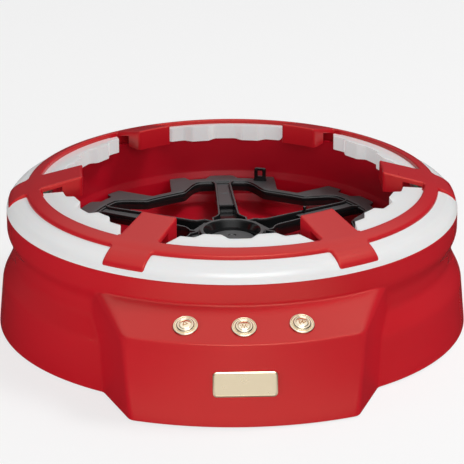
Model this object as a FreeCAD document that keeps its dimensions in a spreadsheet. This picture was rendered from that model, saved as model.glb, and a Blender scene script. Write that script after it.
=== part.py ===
import FreeCAD, Part
import Sketcher
import math
import os
import re

# Spin art machine: a round tub whose motor spins a paper holder inside a lit splash guard.
# Frame: the origin is on the turntable's axis at table height, the front panel faces -Y, +Z is up.
# Every length is in millimetres, every angle in degrees.

SIZES = {
    # outer shell
    "rim_radius": 150.0,
    "rim_height": 80.0,
    "rim_band": 14.0,
    "waist_radius": 146.5,
    "waist_upper": 58.0,
    "waist_lower": 47.0,
    "ledge_radius": 153.5,
    "ledge_height": 33.0,
    "skirt_radius": 156.5,
    "foot_gap": 1.0,
    "shell_wall": 2.4,
    "seat_drop": 2.5,
    "seat_thick": 2.5,
    "seat_inner_radius": 136.0,
    "post_radius": 4.0,
    "side_screw_inset": 5.0,
    "front_screw_inset": 6.5,
    "front_screw_angle": 19.5,
    # front panel
    "panel_radius": 187.4,
    "crease_radius": 178.5,
    "crease_height": 52.0,
    "facet_half_width": 86.5,
    "facet_depth": 131.5,
    "facet_lean": 0.37,
    # splash bowl
    "bowl_wall": 2.2,
    "bowl_lip_radius": 119.5,
    "bowl_lip_height": 90.0,
    "bowl_step_radius": 117.6,
    "bowl_step_height": 61.0,
    "bowl_floor_radius": 108.0,
    "bowl_floor_height": 42.5,
    "bowl_boss_radius": 14.0,
    "bowl_boss_height": 47.5,
    "flange_gap": 2.7,
    "flange_screw_inset": 6.0,
    "drive_post_radius": 4.0,
    "nub_reach": 1.0,
    "nub_half_width": 4.0,
    "nub_height": 3.2,
    # white diffuser ring
    "ring_wall": 2.2,
    "ring_seat_gap": 0.2,
    "ring_inner_radius": 113.5,
    "ring_inner_height": 97.7,
    "ring_inner_foot": 87.5,
    "ring_mid_radius": 127.6,
    "ring_mid_height": 93.9,
    "ring_outer_radius": 136.9,
    "ring_outer_height": 91.4,
    "ring_brow_radius": 146.5,
    "ring_brow_height": 86.0,
    "lobe_depth": 6.0,
    "lobe_half_width": 8.5,
    "lobe_angle": 10.5,
    # red frame
    "frame_inner_height": 97.2,
    "frame_outer_height": 93.5,
    "bar_inner_radius": 99.8,
    "bar_inner_height": 104.7,
    "bar_outer_radius": 148.8,
    "bar_outer_height": 85.6,
    "bar_outer_half_width": 15.2,
    "bar_inner_half_width": 12.8,
    "bar_block_foot": 90.5,
    "bar_count": 6,
    "frame_gap": 0.1,
    "boss_drop": 0.4,
    "boss_radius": 3.5,
    "led_half_width": 1.75,
    "led_height": 1.6,
    "led_count": 24,
    # turntable
    "table_height": 60.5,
    "table_flange": 2.2,
    "table_rib": 6.8,
    "table_rib_wall": 2.0,
    "wave_crest_radius": 100.5,
    "wave_dip_radius": 85.5,
    "wave_crest_bend": 35.0,
    "flange_width": 4.6,
    "lobe_radius": 112.5,
    "spoke_outer_half_width": 5.6,
    "spoke_inner_half_width": 7.6,
    "spoke_turn": 1.3,
    "hub_radius": 21.5,
    "hub_wall": 3.0,
    "hub_web_height": 51.0,
    "hub_floor_height": 53.5,
    "hub_foot_height": 49.0,
    "hub_boss_radius": 8.0,
    "clip_height": 9.0,
    "clip_half_width": 3.9,
    "clip_angle": 15.0,
    "clip_radius": 101.5,
    "clip_thick": 1.8,
    "pin_reach": 63.0,
    "pin_radius": 1.1,
    "tab_angle": 16.4,
    "tab_half_angle": 3.4,
    "bump_half_angle": 4.4,
    "cap_radius": 15.5,
    "cap_thick": 3.0,
    # spindle and drive
    "spindle_radius": 2.5,
    "spindle_foot": 27.5,
    "spindle_top": 53.0,
    "running_gap": 0.05,
    "seat_gap": 0.05,
    "bush_radius": 4.5,
    "bush_flange_radius": 7.0,
    "gear_module": 0.8,
    "gear_teeth": 48,
    "pinion_teeth": 12,
    "gear_foot": 36.0,
    "gear_thick": 4.5,
    "plate_foot": 31.5,
    "plate_thick": 2.0,
    "plate_radius": 42.0,
    "post_pitch_radius": 37.0,
    "motor_radius": 12.0,
    "motor_foot": 5.2,
    "motor_shaft_radius": 1.0,
    "motor_flat": 2.4,
    "motor_boss_radius": 4.0,
    "motor_cap_thick": 3.0,
    "motor_screw_reach": 8.0,
    "motor_screw_radius": 1.0,
    # buttons
    "button_pitch_radius": 165.7,
    "button_step_angle": 12.5,
    "button_radius": 5.4,
    "bezel_radius": 8.0,
    "button_gap": 0.2,
    "button_travel": 0.8,
    "neck_wall": 1.1,
    "collar_reach": 0.8,
    "collar_top": 3.7,
    "collar_foot": 4.9,
    "stem_radius": 2.0,
    "stem_gap": 0.35,
    "switch_height": 5.0,
    "button_proud": 2.6,
    "board_depth": 14.3,
    "board_thick": 1.6,
    "board_half_length": 52.0,
    "board_half_width": 11.0,
    "board_post_reach": 45.0,
    "board_post_radius": 3.0,
    "board_screw_radius": 1.05,
    "switch_half_width": 3.0,
    "switch_case_height": 3.5,
    "plunger_radius": 1.6,
    # nameplate
    "plate_width": 40.0,
    "plate_tall": 16.0,
    "plate_depth": 1.7,
    "plate_sink": 1.0,
    "plate_height": 27.7,
    "plate_corner": 2.6,
    "plate_bevel": 0.6,
    # base and batteries
    "cover_thick": 2.4,
    "cover_gap": 0.7,
    "cell_radius": 7.2,
    "cell_length": 50.2,
    "cell_pitch": 14.9,
    "cell_count": 4,
    "box_centre": 82.0,
    "box_wall": 4.0,
    "box_end_room": 7.8,
    "spring_room": 1.8,
    "contact_half_width": 5.5,
    "contact_thick": 0.5,
    "tab_half_width": 7.0,
    "tab_reach": 9.0,
    "door_thick": 2.0,
    "door_gap": 0.3,
    "screw_radius": 1.5,
    "screw_head_radius": 3.0,
    "screw_head_height": 2.0,
    "foot_radius": 7.0,
    "foot_sink": 1.0,
    "side_foot_inset": 22.0,
    "front_foot_inset": 20.0,
    "front_foot_angle": 16.0,
}

document = FreeCAD.newDocument("spin_art_machine")


def make_sheet():
    """The spreadsheet that holds every driving dimension."""
    table = document.addObject("Spreadsheet::Sheet", "sizes")
    for row, (name, value) in enumerate(SIZES.items(), start=1):
        table.set(f"A{row}", name)
        table.set(f"B{row}", str(value))
        table.setAlias(f"B{row}", name)
    document.recompute()
    return table


sheet = make_sheet()
WORD = re.compile(r"[a-z][a-z_]*")


def bound(text):
    """An expression over the sheet, from a formula that uses the sizes' plain names."""
    return WORD.sub(lambda m: "sizes." + m.group() if m.group() in SIZES else m.group(), str(text))


def number(text):
    """The present value of a formula over the sheet."""
    result = sheet.evalExpression(bound(text))
    return float(getattr(result, "Value", result))


def size(name):
    """One driving dimension, read from the sheet."""
    return float(sheet.get(name))


# Sketches and features

def new_body(label):
    body = document.addObject("PartDesign::Body", label)
    body.Label = label
    return body


def new_sketch(body, name, role, lift="0"):
    """A sketch on one of the body's own origin planes, lifted along the plane's normal."""
    sketch = body.newObject("Sketcher::SketchObject", name)
    plane = next(item for item in body.Origin.OriginFeatures if item.Role == role)
    sketch.AttachmentSupport = [(plane, "")]
    sketch.MapMode = "FlatFace"
    sketch.setExpression("AttachmentOffset.Base.z", bound(lift))
    return sketch


def hold(sketch, direction, geometry, point, text):
    """Ties one coordinate of a sketch point to a formula over the sheet."""
    value = number(text)
    index = sketch.addConstraint(Sketcher.Constraint(direction, -1, 1, geometry, point, value))
    sketch.setExpression(f"Constraints[{index}]", bound(text))


def polygon(body, name, role, corners, lift="0"):
    """A closed outline whose corners are pairs of formulas over the sheet."""
    sketch = new_sketch(body, name, role, lift)
    points = [FreeCAD.Vector(number(across), number(up), 0) for across, up in corners]
    count = len(points)
    for index in range(count):
        sketch.addGeometry(Part.LineSegment(points[index], points[(index + 1) % count]))
    for index in range(count):
        sketch.addConstraint(Sketcher.Constraint("Coincident", index, 2, (index + 1) % count, 1))
    for index, (across, up) in enumerate(corners):
        hold(sketch, "DistanceX", index, 1, across)
        hold(sketch, "DistanceY", index, 1, up)
    return sketch


def circles(body, name, places, radius, lift="0"):
    """Circles of one radius at places given as pairs of formulas."""
    sketch = new_sketch(body, name, "XY_Plane", lift)
    for index, (across, up) in enumerate(places):
        centre = FreeCAD.Vector(number(across), number(up), 0)
        sketch.addGeometry(Part.Circle(centre, FreeCAD.Vector(0, 0, 1), number(radius)))
        hold(sketch, "DistanceX", index, 3, across)
        hold(sketch, "DistanceY", index, 3, up)
        constraint = sketch.addConstraint(Sketcher.Constraint("Radius", index, number(radius)))
        sketch.setExpression(f"Constraints[{constraint}]", bound(radius))
    return sketch


def turned(body, name, corners, kind="PartDesign::Revolution"):
    """A full turn of an outline of (radius, height) corners about the body's Z axis."""
    sketch = polygon(body, name + "_outline", "XZ_Plane", corners)
    feature = body.newObject(kind, name)
    feature.Profile = sketch
    feature.ReferenceAxis = (sketch, ["V_Axis"])
    feature.Angle = 360.0
    sketch.Visibility = False
    return feature


def raised(body, name, sketch, length):
    """A pad upwards from a sketch on a level plane."""
    feature = body.newObject("PartDesign::Pad", name)
    feature.Profile = sketch
    feature.setExpression("Length", bound(length))
    return feature


def sunk(body, name, sketch, length):
    """A pocket downwards from a sketch on a level plane."""
    feature = body.newObject("PartDesign::Pocket", name)
    feature.Profile = sketch
    feature.setExpression("Length", bound(length))
    return feature


def round_pattern(body, name, features, count, span="360"):
    """Copies of features, evenly spaced about the body's Z axis."""
    feature = body.newObject("PartDesign::PolarPattern", name)
    feature.Originals = features
    axis = next(item for item in body.Origin.OriginFeatures if item.Role == "Z_Axis")
    feature.Axis = (axis, [""])
    feature.setExpression("Angle", bound(span))
    feature.Occurrences = int(number(count))
    body.Tip = feature
    return feature


def turned_piece(label, corners):
    """A piece that is one outline turned about its own Z axis."""
    body = new_body(label)
    turned(body, label + "_turn", corners)
    return body


def raised_piece(label, corners, foot, length):
    """A piece that is one level outline, raised."""
    body = new_body(label)
    raised(body, label + "_pad", polygon(body, label + "_outline", "XY_Plane", corners, foot), length)
    return body


def combined(kind, name, first, second):
    """A Part boolean of two objects: Cut, Fuse or Common."""
    result = document.addObject("Part::" + kind, name)
    result.Base = first
    result.Tool = second
    return result


def plain_piece(label, shape):
    """A piece whose shape is worked out from the sheet with Part's own functions."""
    piece = document.addObject("Part::Feature", label)
    piece.Label = label
    piece.Shape = shape
    return piece


def named(piece, label):
    piece.Label = label
    return piece


def place_at(piece, placement):
    piece.Placement = placement
    return piece


def about_axis(angle):
    """A turn about the machine's Z axis."""
    return FreeCAD.Placement(FreeCAD.Vector(0, 0, 0), FreeCAD.Rotation(FreeCAD.Vector(0, 0, 1), angle))


def fused(shapes):
    """One solid from several, with the seams between them cleaned away."""
    return shapes[0].multiFuse(shapes[1:]).removeSplitter()


def group_of(shape, placements):
    """Separate copies of one solid at several placements."""
    copies = []
    for placement in placements:
        copy = shape.copy()
        copy.Placement = placement.multiply(copy.Placement)
        copies.append(copy)
    return Part.makeCompound(copies)


def ring_places(radius, count, first=0.0, height=0.0, span=360.0):
    """Placements on a circle about the machine's axis, each turned to face outwards."""
    places = []
    for index in range(count):
        angle = first + span * index / count
        shift = FreeCAD.Placement(FreeCAD.Vector(radius, 0, height), FreeCAD.Rotation())
        places.append(about_axis(angle).multiply(shift))
    return places


def tube(outer, inner, foot, top):
    """A round sleeve about the Z axis, or a plain rod where inner is zero."""
    sleeve = Part.makeCylinder(outer, top - foot, FreeCAD.Vector(0, 0, foot))
    if inner <= 0:
        return sleeve
    return sleeve.cut(Part.makeCylinder(inner, top - foot + 2, FreeCAD.Vector(0, 0, foot - 1)))


def block(low, high):
    """A box between two corners."""
    edges = [upper - lower for lower, upper in zip(low, high)]
    return Part.makeBox(edges[0], edges[1], edges[2], FreeCAD.Vector(*low))


def screw_shape(length, radius, head_radius, head_height):
    """A pan head screw: its head stands on z = 0, its shank goes down, a cross slot in the head."""
    head = Part.makeCylinder(head_radius, head_height)
    head = head.makeFillet(head_height * 0.45, [head.Edges[0]])
    shank = Part.makeCylinder(radius, length, FreeCAD.Vector(0, 0, -length))
    slot_half = head_radius * 0.6
    slot_wide = head_radius * 0.13
    slot_foot = head_height * 0.45
    first = block((-slot_half, -slot_wide, slot_foot), (slot_half, slot_wide, head_height + 1))
    second = block((-slot_wide, -slot_half, slot_foot), (slot_wide, slot_half, head_height + 1))
    return fused([head, shank]).cut(first).cut(second)


# Outer shell

def body_outline(wall):
    """The round body's (radius, height) outline, drawn in by a wall."""
    return [
        ("0", "foot_gap"),
        (f"skirt_radius - {wall}", "foot_gap"),
        (f"ledge_radius - {wall}", "ledge_height"),
        (f"waist_radius - {wall}", "waist_lower"),
        (f"waist_radius - {wall}", "waist_upper"),
        (f"rim_radius - {wall}", "rim_height - rim_band"),
    ]


def panel_outline(wall):
    """The front panel's outline. The two faces meet at the crease, which the wall offsets squarely."""
    return [
        ("ring_inner_radius", "foot_gap"),
        (f"panel_radius - 1.015 * {wall}", "foot_gap"),
        (f"crease_radius - 0.9 * {wall}", f"crease_height - 0.67 * {wall}"),
        (f"rim_radius - {wall}", f"rim_height - rim_band - 0.62 * {wall}"),
        ("ring_inner_radius", f"rim_height - rim_band - 0.62 * {wall}"),
    ]


def panel_wedge(wall):
    """The panel's outline seen from above, between its two slanted side facets."""
    half = f"facet_half_width - 1.07 * {wall}"
    back = "facet_depth - 40"
    front = "panel_radius + 10"
    return [
        (f"0 - ({half}) - 40 * facet_lean", f"0 - ({back})"),
        (f"0 - ({half}) + (panel_radius + 10 - facet_depth) * facet_lean", f"0 - ({front})"),
        (f"{half} - (panel_radius + 10 - facet_depth) * facet_lean", f"0 - ({front})"),
        (f"{half} + 40 * facet_lean", f"0 - ({back})"),
    ]


def shell_form(name, wall, top_corners):
    """The round body joined to the front panel, at the outer surface or drawn in by a wall."""
    round_body = turned_piece(name + "_round", body_outline(wall) + top_corners)
    panel = turned_piece(name + "_panel", panel_outline(wall))
    wedge = raised_piece(name + "_wedge", panel_wedge(wall), "foot_gap", "rim_height")
    front = combined("Common", name + "_front", panel, wedge)
    return combined("Fuse", name + "_form", round_body, front)


def slope_placement(angle, lift=0.0):
    """A place on the panel's sloping face, with Z along the face's normal."""
    fall = (size("rim_height") - size("rim_band") - size("crease_height"))
    run = size("crease_radius") - size("rim_radius")
    tilt = math.degrees(math.atan2(fall, run))
    reach = size("button_pitch_radius")
    height = size("rim_height") - size("rim_band") - (reach - size("rim_radius")) * fall / run
    spot = FreeCAD.Placement(FreeCAD.Vector(0, -reach, height), FreeCAD.Rotation(FreeCAD.Vector(1, 0, 0), tilt))
    rise = FreeCAD.Placement(FreeCAD.Vector(0, 0, lift), FreeCAD.Rotation())
    return about_axis(angle).multiply(spot).multiply(rise)


def button_places(lift=0.0):
    step = size("button_step_angle")
    return [slope_placement(angle, lift) for angle in (-step, 0.0, step)]


def plate_placement():
    """The nameplate's place on the upright front face, with Z out of the face."""
    run = size("panel_radius") - size("crease_radius")
    rise = size("crease_height") - size("foot_gap")
    lean = math.degrees(math.atan2(run, rise))
    height = size("plate_height")
    reach = size("panel_radius") - (height - size("foot_gap")) * run / rise
    turn = FreeCAD.Rotation(FreeCAD.Vector(1, 0, 0), 90.0 - lean)
    return FreeCAD.Placement(FreeCAD.Vector(0, -reach, height), turn)


def cover_screw_places(height):
    """Five screws round the skirt and two behind the front panel."""
    places = ring_places(size("ledge_radius") - size("side_screw_inset"), 5, -30.0, height, 300.0)
    reach = size("panel_radius") - size("front_screw_inset")
    for angle in (-90.0 - size("front_screw_angle"), -90.0 + size("front_screw_angle")):
        shift = FreeCAD.Placement(FreeCAD.Vector(reach, 0, height), FreeCAD.Rotation())
        places.append(about_axis(angle).multiply(shift))
    return places


def housing_posts():
    """Screw posts that stand on the shell's walls, and the two that carry the control board."""
    foot = size("foot_gap") + size("cover_thick") + size("seat_gap")
    post = tube(size("post_radius"), size("screw_radius") + size("seat_gap"), foot, size("ledge_height"))
    posts = group_of(post, cover_screw_places(0.0))
    drop = size("board_depth")
    board_post = tube(size("board_post_radius"), size("board_screw_radius") + size("seat_gap"), 0, drop - 1.0)
    board_posts = []
    for side in (-1, 1):
        shift = FreeCAD.Placement(
            FreeCAD.Vector(side * size("board_post_reach"), 0, -drop + size("seat_gap")), FreeCAD.Rotation())
        copy = board_post.copy()
        copy.Placement = slope_placement(0.0).multiply(shift)
        board_posts.append(copy)
    return Part.makeCompound(posts.Solids + board_posts)


def housing_cuts():
    """Holes for the bezels and bowl screws, and the nameplate's flat seat."""
    hole_radius = size("button_radius") + size("button_gap") + size("neck_wall") + 2 * size("seat_gap")
    hole = Part.makeCylinder(hole_radius, 30.0, FreeCAD.Vector(0, 0, -15))
    holes = group_of(hole, button_places()).Solids
    half_wide = size("plate_width") / 2 + size("door_gap")
    half_tall = size("plate_tall") / 2 + size("door_gap")
    seat = block((-half_wide, -half_tall, -size("plate_sink")), (half_wide, half_tall, 6.0))
    seat.Placement = plate_placement()
    screw_hole = Part.makeCylinder(size("screw_radius") + size("seat_gap"), 20.0)
    screw_holes = group_of(screw_hole, bowl_screw_places(size("rim_height") - 15.0)).Solids
    return Part.makeCompound(holes + [seat] + screw_holes)


def base_housing():
    """The outer shell: outer form less inner form, with posts added and holes cut."""
    outer = shell_form("outer", "0", [("rim_radius", "rim_height"), ("0", "rim_height")])
    seat = "rim_height - seat_drop"
    inner = shell_form("inner", "shell_wall", [
        ("rim_radius - shell_wall", f"{seat} - seat_thick"),
        ("seat_inner_radius", f"{seat} - seat_thick"),
        ("seat_inner_radius", seat),
        ("rim_radius - shell_wall", seat),
        ("rim_radius - shell_wall", "rim_height"),
        ("0", "rim_height"),
    ])
    shell = combined("Cut", "housing_shell", outer, inner)
    posts = plain_piece("housing_posts_form", housing_posts())
    posted = combined("Fuse", "housing_posted", shell, posts)
    trimmed = combined("Common", "housing_trimmed", posted, outer)
    cuts = plain_piece("housing_cuts_form", housing_cuts())
    return named(combined("Cut", "base_housing", trimmed, cuts), "base_housing")


# Splash bowl

def bowl_screw_places(height):
    return ring_places(size("seat_inner_radius") + size("flange_screw_inset"), 6, 30.0, height)


def splash_bowl():
    """The paint bowl: floor, stepped wall, upstanding lip and the flange that it hangs by."""
    body = new_body("splash_bowl")
    wall = "bowl_wall"
    flange_top = "rim_height - seat_drop + bowl_wall"
    turned(body, "bowl_turn", [
        ("bush_radius + seat_gap", "bowl_boss_height"),
        ("bowl_boss_radius", "bowl_boss_height"),
        ("bowl_boss_radius + 3", "bowl_floor_height + 1.5"),
        ("bowl_floor_radius", "bowl_floor_height"),
        ("bowl_floor_radius + 6", "bowl_floor_height + 4"),
        ("bowl_step_radius - 2.2", "bowl_step_height - 2.4"),
        ("bowl_step_radius", "bowl_step_height"),
        ("bowl_lip_radius", "bowl_lip_height"),
        (f"bowl_lip_radius + {wall}", "bowl_lip_height"),
        (f"bowl_lip_radius + {wall} - 0.7", flange_top),
        ("rim_radius - shell_wall - flange_gap", flange_top),
        ("rim_radius - shell_wall - flange_gap", f"{flange_top} - {wall}"),
        (f"bowl_lip_radius + {wall} - 0.8", f"{flange_top} - {wall}"),
        (f"bowl_step_radius + {wall}", "bowl_step_height - 1"),
        (f"bowl_step_radius - 2.2 + {wall}", "bowl_step_height - 3.4"),
        (f"bowl_floor_radius + 6 + {wall}", "bowl_floor_height + 3"),
        ("bowl_floor_radius + 0.8", f"bowl_floor_height - {wall}"),
        ("bowl_boss_radius + 3", f"bowl_floor_height - {wall} + 1.5"),
        ("bowl_boss_radius + 1.5", "gear_foot + gear_thick + 0.8"),
        ("bush_radius + seat_gap", "gear_foot + gear_thick + 0.8"),
    ])
    foot = "plate_foot + plate_thick + seat_gap"
    spot = [("post_pitch_radius * cos(60)", "post_pitch_radius * sin(60)")]
    post = raised(body, "drive_post", circles(body, "drive_post_outline", spot, "drive_post_radius", foot),
                  "bowl_floor_height - 1 - (plate_foot + plate_thick + seat_gap)")
    bore_sketch = circles(body, "drive_post_bore_outline", spot, "screw_radius + seat_gap",
                          "bowl_floor_height - 2.6")
    bore = sunk(body, "drive_post_bore", bore_sketch, "bowl_floor_height")
    round_pattern(body, "drive_posts", [post, bore], "3")
    nub_sketch = polygon(body, "latch_nub_outline", "XY_Plane", [
        ("bowl_lip_radius - 2 * nub_reach", "0 - nub_half_width"),
        ("bowl_lip_radius + nub_reach", "0 - nub_half_width"),
        ("bowl_lip_radius + nub_reach", "nub_half_width"),
        ("bowl_lip_radius - 2 * nub_reach", "nub_half_width"),
    ], "rim_height - 3")
    nub = raised(body, "latch_nub", nub_sketch, "nub_height")
    round_pattern(body, "latch_nubs", [nub], "bar_count")
    reach = "(seat_inner_radius + flange_screw_inset)"
    hole_spot = [(f"{reach} * cos(30)", f"{reach} * sin(30)")]
    hole_sketch = circles(body, "flange_hole_outline", hole_spot, "screw_radius + seat_gap", "rim_height + 1")
    hole = sunk(body, "flange_hole", hole_sketch, "8")
    round_pattern(body, "flange_holes", [hole], "6")
    return body


# Splash guard: white diffuser ring and red frame

def ring_top_corners(gap):
    """The diffuser's upper surface as (radius, height) corners, raised by a gap."""
    return [
        ("ring_inner_radius", f"ring_inner_height + {gap}"),
        ("ring_mid_radius", f"ring_mid_height + {gap}"),
        ("ring_outer_radius", f"ring_outer_height + {gap}"),
        ("ring_brow_radius", f"ring_brow_height + {gap}"),
        ("rim_radius - 0.8", f"ring_brow_height - 3.3 + {gap}"),
    ]


def light_ring():
    """The white diffuser: a ring channel open underneath, with twelve lobes on its inner wall."""
    body = new_body("light_ring")
    turned(body, "ring_turn", ring_top_corners("0") + [
        ("rim_radius", "rim_height + ring_seat_gap"),
        ("rim_radius - ring_wall", "rim_height + ring_seat_gap"),
        ("rim_radius - ring_wall - 0.8", "ring_brow_height - 3.8"),
        ("ring_brow_radius - 1.4", "ring_brow_height - ring_wall"),
        ("ring_outer_radius", "ring_outer_height - ring_wall"),
        ("ring_mid_radius", "ring_mid_height - ring_wall"),
        ("ring_inner_radius + ring_wall", "ring_inner_height - ring_wall - 0.5"),
        ("ring_inner_radius + ring_wall", "ring_inner_foot"),
        ("ring_inner_radius", "ring_inner_foot"),
    ])
    lobes = []
    for side, sign in (("left", "0 - "), ("right", "")):
        centre = f"({sign}tan(lobe_angle) * ring_inner_radius)"
        outline = polygon(body, f"lobe_{side}_outline", "XY_Plane", [
            (f"{centre} - lobe_half_width", "0 - ring_inner_radius - 0.8"),
            (f"{centre} - lobe_half_width + 2.6", "0 - ring_inner_radius + lobe_depth * 0.8"),
            (f"{centre} - lobe_half_width + 5", "0 - ring_inner_radius + lobe_depth"),
            (f"{centre} + lobe_half_width - 5", "0 - ring_inner_radius + lobe_depth"),
            (f"{centre} + lobe_half_width - 2.6", "0 - ring_inner_radius + lobe_depth * 0.8"),
            (f"{centre} + lobe_half_width", "0 - ring_inner_radius - 0.8"),
        ], "ring_inner_foot")
        lobes.append(raised(body, f"lobe_{side}", outline, "ring_inner_height - ring_inner_foot + 2"))
    round_pattern(body, "lobes", lobes, "bar_count")
    turned(body, "lobe_trim", [
        ("ring_inner_radius - lobe_depth - 6", "ring_inner_height + 3.2"),
        ("ring_inner_radius", "ring_inner_height"),
        ("ring_inner_radius + 1", "ring_inner_height + 20"),
        ("ring_inner_radius - lobe_depth - 6", "ring_inner_height + 20"),
    ], "PartDesign::Groove")
    spot = [("(ring_mid_radius + ring_outer_radius) / 2", "0")]
    hole_sketch = circles(body, "boss_hole_outline", spot, "boss_radius + seat_gap", "ring_mid_height + 5")
    hole = sunk(body, "boss_hole", hole_sketch, "12")
    round_pattern(body, "boss_holes", [hole], "bar_count")
    return body


def rim_frame():
    """The red frame: a raised ring and six tapering bars whose inner ends hang down as blocks."""
    body = new_body("rim_frame")
    foot = "rim_height + 2"
    ring = circles(body, "ring_outline", [("0", "0")], "ring_outer_radius", foot)
    raised(body, "ring", ring, "bar_inner_height - rim_height + 4")
    core = circles(body, "core_outline", [("0", "0")], "ring_mid_radius", "bar_inner_height + 8")
    sunk(body, "core", core, "bar_inner_height")
    bar_sketch = polygon(body, "bar_outline", "XY_Plane", [
        ("bar_inner_radius", "0 - bar_inner_half_width"),
        ("bar_outer_radius", "0 - bar_outer_half_width"),
        ("bar_outer_radius", "bar_outer_half_width"),
        ("bar_inner_radius", "bar_inner_half_width"),
    ], foot)
    bar = raised(body, "bar", bar_sketch, "bar_inner_height - rim_height + 4")
    round_pattern(body, "bars", [bar], "bar_count")
    turned(body, "bar_tops", [
        ("bar_inner_radius - 8", "bar_inner_height + 2.2"),
        ("ring_mid_radius", "frame_inner_height"),
        ("ring_outer_radius", "frame_outer_height"),
        ("bar_outer_radius + 6", "bar_outer_height - 4"),
        ("bar_outer_radius + 6", "bar_inner_height + 20"),
        ("bar_inner_radius - 8", "bar_inner_height + 20"),
    ], "PartDesign::Groove")
    block_back = "ring_inner_radius - 0.3"
    turned(body, "bar_undersides", [
        ("bar_inner_radius - 8", "bar_block_foot + 2.5"),
        (f"{block_back} - 5", "bar_block_foot"),
        (block_back, "bar_block_foot"),
        (block_back, "ring_inner_height + frame_gap + 0.3"),
    ] + ring_top_corners("frame_gap")[1:] + [
        ("bar_outer_radius + 6", "bar_outer_height - 9"),
        ("bar_outer_radius + 6", "rim_height - 5"),
        ("bar_inner_radius - 8", "rim_height - 5"),
    ], "PartDesign::Groove")
    spot = [("(ring_mid_radius + ring_outer_radius) / 2", "0")]
    boss_foot = "ring_outer_height - ring_wall - boss_drop"
    boss_sketch = circles(body, "boss_outline", spot, "boss_radius", boss_foot)
    boss = raised(body, "boss", boss_sketch, f"frame_outer_height - ({boss_foot})")
    bore_radius = "screw_radius * 0.8 + seat_gap"
    bore_sketch = circles(body, "boss_bore_outline", spot, bore_radius, "ring_mid_height + 0.8")
    bore = sunk(body, "boss_bore", bore_sketch, "8")
    round_pattern(body, "bosses", [boss, bore], "bar_count")
    return body


def frame_screws():
    """Screws that come up through the diffuser into the frame's bosses, with wide heads."""
    radius = size("screw_radius") * 0.8
    screw = screw_shape(4.0, radius, 4.6, 1.6)
    upside_down = FreeCAD.Placement(FreeCAD.Vector(0, 0, 0), FreeCAD.Rotation(FreeCAD.Vector(1, 0, 0), 180))
    height = size("ring_outer_height") - size("ring_wall") - size("boss_drop") - size("seat_gap")
    reach = (size("ring_mid_radius") + size("ring_outer_radius")) / 2
    places = [place.multiply(upside_down) for place in ring_places(reach, int(size("bar_count")), 0.0, height)]
    return plain_piece("frame_screws", group_of(screw, places))


def light_board():
    """The flat ring board on the bowl's flange, under the diffuser."""
    foot = "rim_height - seat_drop + bowl_wall + seat_gap"
    return turned_piece("light_board", [
        ("bowl_lip_radius + bowl_wall + 3", foot),
        ("seat_inner_radius + 1", foot),
        ("seat_inner_radius + 1", f"{foot} + board_thick"),
        ("bowl_lip_radius + bowl_wall + 3", f"{foot} + board_thick"),
    ])


def light_leds():
    """Twenty-four light chips on the ring board."""
    foot = (size("rim_height") - size("seat_drop") + size("bowl_wall") + size("seat_gap") * 2
            + size("board_thick"))
    half = size("led_half_width")
    chip = block((-half, -half, 0), (half, half, size("led_height")))
    reach = (size("bowl_lip_radius") + size("bowl_wall") + 4 + size("seat_inner_radius")) / 2
    count = int(size("led_count"))
    return plain_piece("light_leds", group_of(chip, ring_places(reach, count, 180.0 / count, foot)))


# Turntable

def wave_face(swell):
    """A level face inside the rim's wavy line of tangent arcs: a crest at each spoke, a dip between."""
    crest = size("wave_crest_radius")
    dip = size("wave_dip_radius")
    bend = size("wave_crest_bend")
    half_step = math.radians(30.0)
    inset = crest - bend
    # the dip's bend that makes its arc meet the crest's arc in one tangent
    gap = inset ** 2 + dip ** 2 - 2 * inset * dip * math.cos(half_step) - bend ** 2
    hollow = gap / (2 * (bend - dip + inset * math.cos(half_step)))
    edges = []
    for index in range(6):
        middle = math.radians(60.0 * index)
        joints = []
        for side in (-1, 1):
            outward = middle + side * half_step
            first = FreeCAD.Vector(inset * math.cos(middle), inset * math.sin(middle), 0)
            second = FreeCAD.Vector((dip + hollow) * math.cos(outward), (dip + hollow) * math.sin(outward), 0)
            way = (second - first).normalize()
            joints.append(first + way * (bend + swell))
        crest_point = FreeCAD.Vector(math.cos(middle), math.sin(middle), 0) * (crest + swell)
        edges.append(Part.Arc(joints[0], crest_point, joints[1]).toShape())
        far = math.radians(60.0 * index + 30.0)
        dip_point = FreeCAD.Vector(math.cos(far), math.sin(far), 0) * (dip + swell)
        turn = FreeCAD.Rotation(FreeCAD.Vector(0, 0, 1), 60.0)
        edges.append(Part.Arc(joints[1], dip_point, turn.multVec(joints[0])).toShape())
    return Part.Face(Part.Wire(edges))


def wavy_ring(inner_swell, outer_swell, foot, top):
    """A band between two wavy lines, raised from foot to top."""
    rise = FreeCAD.Vector(0, 0, top - foot)
    outer = wave_face(outer_swell).extrude(rise)
    inner = wave_face(inner_swell).extrude(rise)
    band = outer.cut(inner)
    band.translate(FreeCAD.Vector(0, 0, foot))
    return band


def sector(inner, outer, half_angle, foot, top):
    """A flat sector about the X direction, between two radii."""
    upright = FreeCAD.Vector(0, 0, 1)
    whole = Part.makeCylinder(outer, top - foot, FreeCAD.Vector(0, 0, 0), upright, 2 * half_angle)
    whole.Placement = FreeCAD.Placement(FreeCAD.Vector(0, 0, foot), FreeCAD.Rotation(upright, -half_angle))
    return whole.cut(Part.makeCylinder(inner, top - foot + 2, FreeCAD.Vector(0, 0, foot - 1)))


def table_tabs(top, foot):
    """One rim lobe: two paper tabs and the rounded bump at the spoke's end."""
    centre = size("wave_crest_radius")
    tabs = []
    for side in (-1, 1):
        tab = sector(centre - 9.0, size("lobe_radius"), size("tab_half_angle"), foot, top)
        tab.Placement = about_axis(side * size("tab_angle")).multiply(tab.Placement)
        tabs.append(tab)
    tabs.append(sector(centre - 3.0, size("lobe_radius"), size("bump_half_angle"), foot, top))
    return tabs


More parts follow.
